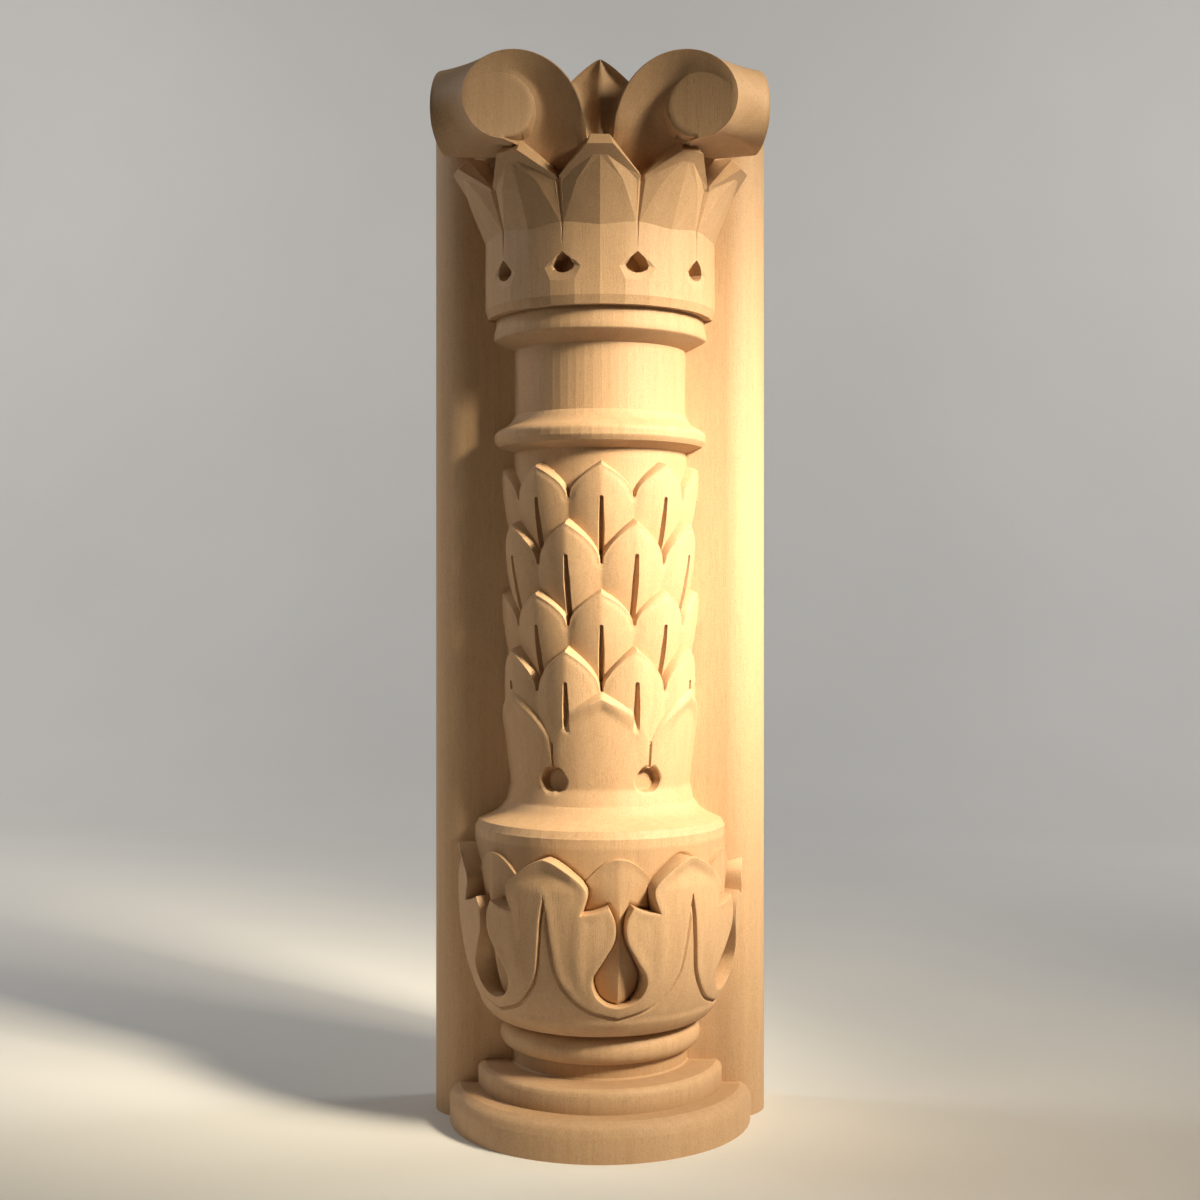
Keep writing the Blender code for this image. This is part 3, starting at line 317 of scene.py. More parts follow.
# Two lamps behind the board keep the ground pale: the right one's place and aim, in metres, which the
# left one mirrors. The room is pale to the eye and hardly lights anything.
GROUND_COLOUR = (1.0, 0.98, 0.95)
GROUND_POWER = 15.0
GROUND_SIZE = 1.0
GROUND_SPOT = (1.5, 0.45, 1.3)
GROUND_AIM = (0.3, 2.0, 0.7)
ROOM_COLOUR = (0.86, 0.87, 0.90, 1.0)
ROOM_SEEN = 0.55
ROOM_LIGHT = 0.006

# The sweep's tones, and in metres where it starts and bends upwards, the bend's radius, its height
# and half its width
PAPER_TONES = [(0.3, (0.78, 0.775, 0.76)), (0.7, (0.81, 0.805, 0.79))]
SWEEP_START = -3.0
SWEEP_BEND_FROM = 1.2
SWEEP_BEND = 0.8
SWEEP_TOP = 3.5
SWEEP_HALF = 3.5
SWEEP_STEPS = 16

# Tones of the wood's layers and of the painted shade, light and dark ones of a pair or the tone that is
# mixed in, and their shares
STREAK_TONES = [(0.3, (0.53, 0.335, 0.185)), (0.7, (0.595, 0.385, 0.225))]
FIBRE_TONES = [(0.3, (0.44, 0.27, 0.15)), (0.7, (0.67, 0.455, 0.275))]
MOTTLE_TONES = [(0.35, (0.36, 0.215, 0.115)), (0.65, (0.75, 0.52, 0.32))]
RING_TONE = (0.43, 0.255, 0.13, 1.0)
PORE_TONE = (0.27, 0.165, 0.09, 1.0)
# Painted shade: the dark tone mixed into the carving's recesses, stronger where they lie deeper
PAINTED_SHADE_TONE = (0.33, 0.19, 0.095, 1.0)
RING_SHARE = 0.10
FIBRE_SHARE = 0.20
MOTTLE_SHARE = 0.22
PORE_SHARE = 0.22
# How much painted shade the deepest recesses get
PAINTED_SHADE_SHARE = 0.35

# How finely the layers repeat, for each metre across, and how little upwards as a share of that. Then
# the pith's place behind the board and the height of the grain, in metres
RINGS_EACH_METRE = 1350.0
STREAK_SCALE, STREAK_UP = 160.0, 0.03
FIBRE_SCALE, FIBRE_UP = 900.0, 0.035
PORE_SCALE, PORE_UP = 2100.0, 0.06
MOTTLE_SCALE = 1300.0
PITH = (0.05, 0.16, 0.0)
GRAIN_HEIGHT = 0.00025


def stack(*parts):
    """Adds heights up and gives each running total."""
    return [float(total) for total in np.cumsum(parts)]


H_DISC_WALL, H_DISC, H_STEP_WALL, H_STEP, H_TORUS, H_BOWL = stack(
    DISC_WALL, DISC_SHOULDER, STEP_WALL, STEP_SHOULDER, FOOT_NECK, TORUS + TORUS_GAP)
H_BOWL_FULL, H_BOWL_WALL, H_BOWL_RIM = stack(H_BOWL + BOWL_ROUND, BOWL_STRAIGHT, BOWL_RIM)
H_LIP, H_HOLLOW, H_HOLLOW_TOP, H_SHAFT, H_RING = stack(
    H_BOWL_RIM + CAVETTO_CHAMFER, CAVETTO_MID, CAVETTO_UPPER, CAVETTO_TOP, SHAFT)
H_RING_WALL, H_RING_TOP, H_NECK, H_COLLAR, H_COLLAR_WALL, H_COLLAR_TOP, H_GROOVE, H_BELL = stack(
    H_RING + RING_UNDERSIDE, RING_WALL, RING_TOP, NECK, COLLAR_UNDERSIDE, COLLAR_WALL,
    COLLAR_TOP, GROOVE)
H_BELL_EDGE = H_BELL + BELL_CHAMFER
H_BEND = H_BELL_EDGE + BELL_WALL
H_SCROLL_EYE = H_BEND + SCROLL_ABOVE_BEND
H_SCROLL_TOP = H_SCROLL_EYE + SCROLL_EDGE_R + SCROLL_GROWTH * 2 ** SCROLL_POWER
H_TOP = H_SCROLL_TOP + BOARD_ABOVE_SCROLLS
BOWL_RIM_R = BOWL_R - BOWL_RIM_SINK
CAVETTO_LIP_R = BOWL_RIM_R - CAVETTO_LIP_IN
H_KALATHOS = H_SCROLL_TOP - KALATHOS_BELOW_SCROLLS


def smooth_step(value):
    """Eases from 0 to 1."""
    t = np.clip(value, 0.0, 1.0)
    return t * t * (3.0 - 2.0 * t)


def eased(value, start, over):
    """Eases from 0 at the start to 1, over some stretch."""
    return float(smooth_step((value - start) / over))


def eased_out(value, end, over):
    """Eases from 1 to 0 at the end, over some stretch."""
    return float(smooth_step((end - value) / over))


def gouged(value):
    """The section of a gouged hollow from its edge (0) to its bottom (1): steepest at the edge."""
    t = np.clip(value, 0.0, 1.0)
    return 1.0 - (1.0 - t) ** 2


def rolled(value):
    """The section of a soft rolled rim, from its outer edge (0) up to the face behind it (1)."""
    return np.sin(0.5 * math.pi * np.clip(value, 0.0, 1.0))


def rim_width(across, half, wide):
    """The width of a leaf's rolled rim, full at the tip and narrower towards the notch."""
    return wide * (1.0 - RIM_NARROWS * np.clip(across / half, 0.0, 1.0))


def fold(theta, centre, count):
    """The angle to the middle of the nearest of count equal leaves, as a positive number."""
    pitch = 360.0 / count
    return np.abs((theta - centre + pitch / 2) % pitch - pitch / 2)


class Skin:
    """A turned and carved skin round the axis, built from the floor up."""

    def __init__(self, angles):
        self.angles = angles
        self.points = []
        self.faces = []
        self.left = []
        self.right = []

    def row(self, height, radius):
        start = len(self.points)
        self.points += [(a, height, radius) for a in self.angles]
        self.left.append(start)
        self.right.append(len(self.points) - 1)
        return start

    def turned(self, profile):
        """Sweeps a profile of (height, radius) pairs round the axis."""
        rows = [self.row(height, radius) for height, radius in profile]
        for low, high in zip(rows, rows[1:]):
            self.faces += [(low + i, low + i + 1, high + i + 1, high + i)
                           for i in range(len(self.angles) - 1)]

    def closed(self, name):
        """Caps the underside, the top and the two sides that run in to the axis."""
        count = len(self.angles)
        for first in (self.left[0], self.left[-1]):
            hub = len(self.points)
            self.points.append((0.0, self.points[first][1], 0.0))
            self.faces += [(hub, first + i, first + i + 1) for i in range(count - 1)]
        head = len(self.points) - 1
        foot = head - 1
        for side in (self.left, self.right):
            chain = []
            for i in side:
                if not chain or math.dist(self.points[i][1:], self.points[chain[-1]][1:]) > 1e-6:
                    chain.append(i)
            self.faces.append([foot] + chain + [head])
        theta, height, radius = np.array(self.points).T
        turn = np.radians(theta)
        spots = np.stack([radius * np.sin(turn), -radius * np.cos(turn), height], axis=1) * MM
        return solid(name, spots.tolist(), self.faces)


def solid(name, spots, faces):
    """Makes an object of a closed mesh, with its faces turned outwards."""
    mesh = bpy.data.meshes.new(name)
    mesh.from_pydata(spots, [], faces)
    work = bmesh.new()
    work.from_mesh(mesh)
    bmesh.ops.remove_doubles(work, verts=work.verts, dist=WELD * MM)
    bmesh.ops.recalc_face_normals(work, faces=work.faces)
    if work.calc_volume(signed=True) < 0:
        bmesh.ops.reverse_faces(work, faces=work.faces)
    work.to_mesh(mesh)
    work.free()
    made = bpy.data.objects.new(name, mesh)
    bpy.context.scene.collection.objects.link(made)
    return made


def triangulate(points, chains):
    """Triangulates a flat set of points, keeping the chains of neighbours as edges."""
    edges = [(a, b) for chain in chains for a, b in zip(chain, chain[1:]) if a != b]
    flat = [Vector((float(x), float(y))) for x, y in points]
    spots, _, faces, origins, _, _ = delaunay_2d_cdt(flat, edges, [], 1, 1e-5, True)
    return [(p.x, p.y) for p in spots], faces, origins


def gap_to_lines(points, lines):
    """The distance from each point to the nearest of the lines."""
    best = np.full(len(points), 1e9)
    for line in lines:
        line = np.asarray(line, float)
        for a, b in zip(line, line[1:]):
            along = b - a
            size = max(float(along @ along), 1e-12)
            t = np.clip(((points - a) @ along) / size, 0.0, 1.0)
            best = np.minimum(best, np.linalg.norm(points - (a + t[:, None] * along), axis=1))
    return best


def divided(line, step):
    """The same line with more points, so that none of its parts is longer than step."""
    out = []
    for a, b in zip(line, line[1:]):
        parts = max(1, math.ceil(math.dist(a, b) / step))
        out += [tuple(np.asarray(a) + (np.asarray(b) - a) * k / parts) for k in range(parts)]
    return out + [tuple(line[-1])]


def runs(line, keep):
    """The stretches of a line whose points are all kept."""
    out, run = [], []
    for spot, good in zip(line, keep):
        if good:
            run.append(tuple(spot))
        elif run:
            out.append(run)
            run = []
    return out + [run] if run else out


def carve(skin, low, high, roll, radius, lines):
    """Covers a band of the column with a carved surface. Lines are drawn unrolled, at radius roll.

    The surface gets points along the lines, so that they stay crisp, and an even grid between them.
    """
    per_degree = math.radians(1.0) * roll
    angles = skin.angles
    count = len(angles)
    points = [(a * per_degree, h) for h in (low, high) for a in angles]
    chains = [list(range(count)), list(range(count, 2 * count)), [count - 1, 2 * count - 1], [0, count]]
    left, right = points[0][0], points[count - 1][0]
    marks = []
    for line in lines:
        line = np.array(divided(line, CARVE_STEP))
        inside = ((line[:, 0] > left + CARVE_SIDE) & (line[:, 0] < right - CARVE_SIDE)
                  & (line[:, 1] > low + CARVE_SIDE) & (line[:, 1] < high - CARVE_SIDE))
        for run in runs(line, inside):
            chains.append(list(range(len(points), len(points) + len(run))))
            points += run
            marks += divided(run, CARVE_STEP / 4.0)
    tree = KDTree(len(marks))
    for i, (x, y) in enumerate(marks):
        tree.insert((x, y, 0.0), i)
    tree.balance()
    across = np.arange(left + CARVE_STEP, right - CARVE_STEP / 2, CARVE_STEP)
    up = np.arange(low + CARVE_STEP, high - CARVE_STEP / 2, CARVE_STEP * ROW_RISE)
    for number, y in enumerate(up):
        for x in across + 0.5 * CARVE_STEP * (number % 2):
            if x < right - CARVE_SIDE and tree.find((x, y, 0.0))[2] > CARVE_CLEAR * CARVE_STEP:
                points.append((float(x), float(y)))
    spots, faces, _ = triangulate(points, chains)
    spots = np.array(spots)
    theta, height = spots[:, 0] / per_degree, spots[:, 1]
    # The borders are set back to their exact places, so that the neighbours fit
    corners = np.array(angles)
    for level in (low, high):
        edge = np.abs(height - level) < BORDER_GAP
        height[edge] = level
        theta[edge] = corners[np.abs(theta[edge][:, None] - corners[None]).argmin(axis=1)]
    for side in (angles[0], angles[-1]):
        theta[np.abs(theta - side) < BORDER_GAP] = side
    radii = radius(theta, height)
    for level in (low, high):
        edge = height == level
        radii[edge] = radii[edge].mean()
    start = len(skin.points)
    skin.points += list(zip(theta.tolist(), height.tolist(), radii.tolist()))
    skin.faces += [tuple(start + i for i in loop) for loop in faces]
    for border, side in ((skin.left, angles[0]), (skin.right, angles[-1])):
        members = np.flatnonzero(theta == side)
        border.extend(start + int(i) for i in members[np.argsort(height[members])])


def point_width(drop, half, point, curve):
    """Half the width of a leaf at some drop below its tip."""
    return half * (1.0 - (1.0 - np.clip(drop / point, 0.0, 1.0)) ** curve)


def point_drop(across, half, point, curve):
    """How far below its tip a leaf's edge lies, at some distance from its mid-line."""
    return point * (1.0 - (1.0 - np.clip(across / half, 0.0, 1.0)) ** (1.0 / curve))


def leaf_edge(half, point, curve, steps):
    """Points down the right edge of a pointed leaf, as (across, drop) pairs."""
    drops = point * (1.0 - np.cos(np.linspace(0.0, math.pi / 2, steps + 1)))
    return [(float(point_width(d, half, point, curve)), float(d)) for d in drops]


SHAFT_ROLL = SHAFT_R + SCALE_PROUDS[0] / 2
SHAFT_DEGREE = math.radians(1.0) * SHAFT_ROLL
SCALE_HALF = 180.0 / SCALE_LEAVES * SHAFT_DEGREE
TALL_HALF = 180.0 / TALL_LEAVES * SHAFT_DEGREE


def scale_rows():
    """Each row of scale leaves from the top down: tip height, drop to the notch and centre angle."""
    tips = H_RING - SCALE_BELOW_RING - np.cumsum(SCALE_ROW_STEPS)
    for row, (tip, point) in enumerate(zip(tips, SCALE_POINTS)):
        yield float(tip), point, SHAFT_TURN + (row % 2) * 180.0 / SCALE_LEAVES


def slot_foot(row, theta):
    """Where a slot ends: at the notch below it, or beside the tall leaves in the last row."""
    rows = list(scale_rows())
    if row + 1 < len(rows):
        return rows[row + 1][0] - rows[row + 1][1]
    beside = fold(theta, SHAFT_TURN, TALL_LEAVES) > 90.0 / SCALE_LEAVES
    return np.where(beside, H_SHAFT + LAST_SLOT_FOOT, H_SHAFT + TALL_TIP)


def tall_gap(theta, height):
    """How far below the edge of the tall leaves places lie, negative above it."""
    across = fold(theta, SHAFT_TURN, TALL_LEAVES) * SHAFT_DEGREE
    return H_SHAFT + TALL_TIP - height - point_drop(across, TALL_HALF, TALL_POINT, TALL_CURVE)


def slot_half(drop):
    """Half the width of a slot at some drop below its top."""
    return SLOT_TOP_HALF + (SLOT_HALF - SLOT_TOP_HALF) * smooth_step(drop / SLOT_WIDENS)


def slot_cut(theta, height, row, tip, centre):
    """How deep the slot of one row's leaves goes, from 0 to 1."""
    across = fold(theta, centre, SCALE_LEAVES) * SHAFT_DEGREE
    below = tip - SLOT_DROP - SLOT_TOP_HALF - height
    half = slot_half(below)
    cut = np.clip((half - np.hypot(across, np.minimum(below, 0.0))) / (SLOT_FLANK * half), 0.0, 1.0)
    return cut * (height > slot_foot(row, theta) - 1e-6)


def eye_reach(theta, height):
    """How far out from the middle of a drilled eye a place lies, 1 at its edge."""
    across = (fold(theta, SHAFT_TURN, TALL_LEAVES) - EYE_ANGLE) * SHAFT_DEGREE
    rise = (height - H_SHAFT - EYE_HEIGHT) / EYE_TALL
    return np.hypot(across / (EYE_HALF * (1.0 - EYE_NARROWING * np.clip(rise, 0.0, 1.0))), rise)


def eye_outline(scale):
    """One drilled eye as a closed line of (across, rise) pairs round its middle."""
    line = []
    for turn in np.linspace(0.0, 2.0 * math.pi, EYE_STEPS + 1):
        rise = math.sin(turn) * scale
        narrow = 1.0 - EYE_NARROWING * max(rise, 0.0)
        line.append((math.cos(turn) * EYE_HALF * narrow * scale, rise * EYE_TALL))
    return line


def tall_leaves(surface, theta, height):
    """Lays the tall leaves of the lowest row over a surface, with the slits and eyes between them."""
    across = fold(theta, SHAFT_TURN, TALL_LEAVES) * SHAFT_DEGREE
    depth = tall_gap(theta, height)
    body = np.interp(height, [H_HOLLOW_TOP, H_SHAFT, H_SHAFT + TALL_TIP - TALL_UNDERCUT],
                     [CAVETTO_UPPER_R, SHAFT_FOOT_R, TALL_BODY_R])
    edge = leaf_edge(TALL_HALF, TALL_POINT, TALL_CURVE, OUTLINE_STEPS * 3)
    gap = gap_to_lines(np.stack([across, H_SHAFT + TALL_TIP - height], axis=1), [edge])
    gap = np.where(depth > 0, gap, 0.0)
    rim = rim_width(across, TALL_HALF, TALL_RIM)
    lip = (1.0 - smooth_step((gap - 0.7 * rim) / TALL_UNDERCUT)) * (1.0 - across / TALL_HALF)
    face = body + (TALL_TIP_R - TALL_BODY_R) * lip
    surface = np.where(depth > 0, surface + (face - surface) * rolled(gap / rim), surface)
    slit = np.clip(1.0 - (TALL_HALF - across) / TALL_SLIT, 0.0, 1.0)
    slit = slit * (height > H_SHAFT + EYE_HEIGHT) * (depth > 0)
    reach = eye_reach(theta, height)
    hole = smooth_step((1.0 - reach) / EYE_FLANK)
    eye_lip = EYE_LIP_DEPTH * smooth_step((1.0 + EYE_LIP - reach) / EYE_LIP) * (1.0 - hole)
    return surface - np.maximum(TALL_SLIT_DEPTH * slit, EYE_DEPTH * hole + eye_lip)


def shaft_radius(theta, height):
    """The carved surface of the shaft, from the topmost row of leaves down to the tall ones.

    Each row of leaves covers the ends of the slots above it. The last slots fade into the tall leaves.
    """
    surface = np.full_like(height, SHAFT_R)
    slots = np.zeros_like(height)
    for row, (tip, point, centre) in enumerate(scale_rows()):
        across = fold(theta, centre, SCALE_LEAVES) * SHAFT_DEGREE
        drop = tip - height
        depth = drop - point_drop(across, SCALE_HALF, point, SCALE_CURVE)
        edge = leaf_edge(SCALE_HALF, point, SCALE_CURVE, OUTLINE_STEPS * 2)
        gap = np.where(depth > 0, gap_to_lines(np.stack([across, drop], axis=1), [edge]), 0.0)
        rim = rim_width(across, SCALE_HALF, SCALE_RIM)
        lean = SCALE_LEANS[row] * ((drop - SCALE_EDGE) / SCALE_LEAN_OVER) ** 2
        keel = SCALE_KEEL * (across / SCALE_HALF) ** SCALE_KEEL_POWER
        face = np.maximum(SHAFT_R + SCALE_PROUDS[row] - lean, SHAFT_R) - keel
        face = face - SCALE_HOLLOW * np.exp(-((gap - rim - HOLLOW_BEHIND_RIM) / HOLLOW_HALF) ** 2)
        surface = np.where(depth > 0, surface + (face - surface) * rolled(gap / rim), surface)
        slots = np.where(depth > 0, slot_cut(theta, height, row, tip, centre), slots)
    covered = tall_leaves(surface, theta, height)
    fade = smooth_step((height - H_SHAFT - LAST_SLOT_FOOT) / LAST_SLOT_FADE)
    floor = np.minimum(surface - SLOT_DEPTH * fade, covered)
    return covered + (floor - covered) * slots


def around(count, centre, reach):
    """The mid-angles of the leaves whose middle lies within reach of the front."""
    pitch = 360.0 / count
    first = math.ceil((-reach - centre) / pitch)
    return [centre + pitch * k for k in range(first, int((reach - centre) // pitch) + 1)]


def rims(edge, wide, half):
    """The edge of a leaf with lines along its rolled rim, kept on their own side of the leaf."""
    lines = [edge]
    for share in RIM_LINES:
        gaps = [share * float(rim_width(p[0], half, wide)) for p in edge]
        beside = [p for p in offset(edge, gaps) if RIM_LINES_INSIDE < p[0] < half - RIM_LINES_INSIDE]
        if len(beside) > 2:
            lines.append(beside)
    return lines


def scale_lines(row, tip, point, centre):
    """The edges and seams of one row of scale leaves, drawn unrolled."""
    edge = leaf_edge(SCALE_HALF, point, SCALE_CURVE, OUTLINE_STEPS * 2)
    rows = list(scale_rows())
    foot = rows[row + 1][0] if row + 1 < len(rows) else H_SHAFT + TALL_TIP - TALL_POINT
    lines = []
    for angle in around(SCALE_LEAVES, centre, LINES_REACH):
        x = angle * SHAFT_DEGREE
        for side in (-1, 1):
            for line in rims(edge, SCALE_RIM, SCALE_HALF):
                lines.append([(x + side * a, tip - d) for a, d in line])
        lines.append([(x, tip - 1.0), (x, tip - SLOT_DROP)])
        lines.append([(x + SCALE_HALF, tip - point), (x + SCALE_HALF, foot)])
    return lines


def slot_lines(row, tip, centre):
    """The rims and floors of the slots in one row of scale leaves."""
    top = tip - SLOT_DROP - SLOT_TOP_HALF
    lines = []
    for angle in around(SCALE_LEAVES, centre, LINES_REACH):
        x = angle * SHAFT_DEGREE
        end = float(slot_foot(row, angle))
        downs = np.linspace(0.0, top - end, 8)
        for share in (1.0, 1.0 - SLOT_FLANK):
            half = SLOT_TOP_HALF * share
            arch = [(half * math.cos(t), half * math.sin(t)) for t in np.linspace(0.0, math.pi / 2, 4)]
            side = [(share * float(slot_half(d)), -d) for d in downs[:0:-1]] + arch
            line = side + [(-a, h) for a, h in side[-2::-1]]
            lines.append([(x + a, top + h) for a, h in line])
    return lines


def shaft_lines():
    """The leaf edges, slots and eyes of the shaft, drawn unrolled."""
    lines = []
    for row, (tip, point, centre) in enumerate(scale_rows()):
        for line in scale_lines(row, tip, point, centre):
            line = divided(line, CARVE_STEP)
            spots = np.array(line)
            above = tall_gap(spots[:, 0] / SHAFT_DEGREE, spots[:, 1]) < -LINES_APART
            lines += [run for run in runs(line, above) if len(run) > 1]
        lines += slot_lines(row, tip, centre)
    tip = H_SHAFT + TALL_TIP
    edge = leaf_edge(TALL_HALF, TALL_POINT, TALL_CURVE, OUTLINE_STEPS * 3)
    eye_top = H_SHAFT + EYE_HEIGHT + EYE_TALL + PAST_EYE
    for angle in around(TALL_LEAVES, SHAFT_TURN, LINES_REACH):
        x = angle * SHAFT_DEGREE
        for side in (-1, 1):
            for line in rims(edge, TALL_RIM, TALL_HALF):
                lines.append([(x + side * a, tip - d) for a, d in line])
            rim = x + side * (TALL_HALF - TALL_SLIT)
            lines.append([(rim, tip - TALL_POINT - 1.0), (rim, eye_top)])
            eye = x + side * EYE_ANGLE * SHAFT_DEGREE
            for scale in (1.0 + EYE_LIP, 1.0, 1.0 - EYE_FLANK / 2, 1.0 - EYE_FLANK):
                lines.append([(eye + a, H_SHAFT + EYE_HEIGHT + r) for a, r in eye_outline(scale)])
        lines.append([(x + TALL_HALF, tip - TALL_POINT), (x + TALL_HALF, eye_top)])
    return lines


def bowl_leaf_surface(height):
    """The outer face of the bowl's leaves: a quarter ellipse below, upright above."""
    t = np.clip((H_BOWL_FULL - height) / BOWL_ROUND, 0.0, 1.0)
    return BOWL_FOOT_R + (BOWL_R - BOWL_FOOT_R) * np.sqrt(1.0 - t * t)


def flowing(points, steps):
    """A smooth line through a few points, with steps parts between neighbours."""
    points = [np.asarray(p, float) for p in points]
    padded = [2 * points[0] - points[1]] + points + [2 * points[-1] - points[-2]]
    line = []
    for a, b, c, d in zip(padded, padded[1:], padded[2:], padded[3:]):
        for t in np.arange(steps) / steps:
            line.append(0.5 * (2 * b + (c - a) * t + (2 * a - 5 * b + 4 * c - d) * t ** 2
                               + (3 * b - a - 3 * c + d) * t ** 3))
    return line + [points[-1]]


BOWL_ROLL = BOWL_R - BACK_LEAF_SINK / 2
BOWL_DEGREE = math.radians(1.0) * BOWL_ROLL
BOWL_LEAF_HALF = 180.0 / BOWL_LEAVES * BOWL_DEGREE


def bowl_place(pairs):
    """Places on the half leaf, from hundredths of its width and of its height down from the tip."""
    return [(BOWL_LEAF_HALF * across / 100.0, H_BOWL + FRONT_LEAF_TOP * (1.0 - drop / 100.0))
            for across, drop in pairs]


def bowl_outline(steps):
    """The front leaf from the middle of a drop opening (0) to the middle of a leaf (its half pitch).

    Gives the upper edge, the side tip's shoulder, the opening and the lower edge.
    """
    lobe = flowing(bowl_place([(100, 0), (88, 1.6), (68, 6.6), (48, 13.6), (44, 19.5),
                               (52, 29.5)]), steps)
    shoulder = flowing(bowl_place([(52, 29.5), (33, 27.9), (16, 25.1)]), max(1, steps // 2))
    drop = flowing(bowl_place([(16, 25.1), (7.5, 33), (8.5, 43), (22, 53.5), (37, 64.4), (33, 73.5),
                               (17.5, 79), (0, 80.6)]), steps)
    cup = flowing(bowl_place([(100, 20), (95, 31), (90.5, 46.5), (84, 62), (68, 73.3), (42, 81.7),
                              (0, 86.7)]), steps)
    return lobe, shoulder, drop, cup


def bowl_ridge(steps):
    """The crest between the long hollow beside the slit and the hollow of the side tip."""
    return flowing(bowl_place([(52, 29.5), (52.5, 37), (55, 48), (54.5, 58), (51, 69), (40, 77)]), steps)


def within(points, outline):
    """Whether each point lies inside a closed outline."""
    ring = [np.asarray(p, float) for p in outline]
    inside = np.zeros(len(points), bool)
    for a, b in zip(ring, ring[1:] + ring[:1]):
        if abs(b[1] - a[1]) < 1e-9:
            continue
        crosses = (a[1] > points[:, 1]) != (b[1] > points[:, 1])
        where = a[0] + (points[:, 1] - a[1]) / (b[1] - a[1]) * (b[0] - a[0])
        inside ^= crosses & (points[:, 0] < where)
    return inside


def outside_cups(spots, cup):
    """Whether places lie below or beside the rounded cups that hold the openings."""
    cup = np.asarray(cup, float)
    order = np.argsort(cup[:, 1])
    edge = np.interp(spots[:, 1], cup[order, 1], cup[order, 0])
    beside = (spots[:, 0] > edge - 1e-6) & (spots[:, 1] < cup[:, 1].max())
    return beside | (spots[:, 1] < cup[:, 1].min())


def bowl_carve_foot():
    """The height where the leaves start, above the plain turned underside of the bowl."""
    return H_BOWL_FULL - BOWL_ROUND * math.sin(math.radians(BOWL_PLAIN_BELOW))


def bowl_radius(theta, height):
    """The carved surface of the bowl: rim wall and tongues, back leaves, and front leaves over them."""
    lobe, shoulder, drop, cup = bowl_outline(OUTLINE_STEPS)
    ridge = bowl_ridge(OUTLINE_STEPS)
    upper = lobe + shoulder[1:] + drop[1:]
    top = H_BOWL + FRONT_LEAF_TOP
    across = fold(theta, BOWL_TURN, BOWL_LEAVES) * BOWL_DEGREE
    spots = np.stack([across, height], axis=1)
    outer = bowl_leaf_surface(height)
    edges = gap_to_lines(spots, [upper, cup])
    # The tongues fill the space between the cups, with a groove along each cup
    from_cup = gap_to_lines(spots, [cup])
    groove = TONGUE_SINK + TONGUE_GROOVE * np.clip(1.0 - from_cup / TONGUE_FLANK, 0.0, 1.0)
    tongue = outer - groove * smooth_step((height - bowl_carve_foot()) / TONGUE_EASE)
    below = outside_cups(spots, cup)
    ground = np.where(below, tongue, outer - BOWL_RIM_SINK)
    # Back leaf, with a rib down the middle of the opening and a hollow under its edge
    drop_down = top - height
    back_gap = drop_down - BACK_LEAF_ARCH * across ** 2
    lower = smooth_step(drop_down / BOWL_STRAIGHT - BACK_LEAF_KEEL_FROM)
    keel = BACK_LEAF_KEEL + BACK_LEAF_KEEL_BELOW * lower
    under_edge = BACK_LEAF_HOLLOW * gouged((back_gap - BACK_LEAF_EDGE) / BACK_LEAF_HOLLOW_WIDE)
    rib = outer - BACK_LEAF_SINK - keel * across - under_edge
    rise = np.clip(back_gap / BACK_LEAF_EDGE, 0.0, 1.0)
    rise = np.where((across < BACK_LEAF_HALF) & ~below, rise, 0.0)
    base = ground + (rib - ground) * rise
    foot_cut = LEAF_FOOT_CUT * np.clip(1.0 - (edges - LEAF_WALL) / LEAF_FOOT_WIDE, 0.0, 1.0)
    base = base - np.where(below, 0.0, foot_cut)
    # Front leaf: steep walls, rounded rims, and gouged hollows between its crests
    ends = gap_to_lines(spots, [[upper[0], cup[0]], [upper[-1], cup[-1]]])
    inside = within(spots, upper + cup[::-1]) | (edges < 1e-3) | (ends < 1e-3)
    near_rim = 1.0 - np.clip(edges / LEAF_ROUND, 0.0, 1.0)
    rounding = LEAF_ROUND * (1.0 - np.sqrt(1.0 - near_rim ** 2))
    to_ridge = gap_to_lines(spots, [ridge])
    fade = drop_down - HOLLOW_FADE_FROM * FRONT_LEAF_TOP
    fade = 1.0 - smooth_step(fade / (HOLLOW_FADE * FRONT_LEAF_TOP))
    hollow = LEAF_HOLLOW * smooth_step(np.minimum(edges, to_ridge) / LEAF_HOLLOW_WIDE) * fade
    dish = LEAF_DISH * smooth_step(edges / LEAF_DISH_WIDE)
    dish = dish * (1.0 - smooth_step((drop_down - LEAF_DISH_FOOT) / LEAF_DISH_EASE))
    leaf = outer - rounding - hollow - dish
    front = np.where(inside, 1.0, 1.0 - np.clip(edges / LEAF_WALL, 0.0, 1.0))
    leaf = np.where(inside, leaf, outer - LEAF_ROUND)
    return base + (leaf - base) * front


def offset(line, gap):
    """A line beside another, gap away to its left. The gap may be one number or one for each point."""
    line = [np.asarray(p, float) for p in line]
    gaps = np.broadcast_to(gap, len(line))
    out = []
    for i, spot in enumerate(line):
        ahead = line[min(i + 1, len(line) - 1)] - line[max(i - 1, 0)]
        ahead = ahead / max(float(np.hypot(*ahead)), 1e-9)
        out.append(spot + gaps[i] * np.array((-ahead[1], ahead[0])))
    return out


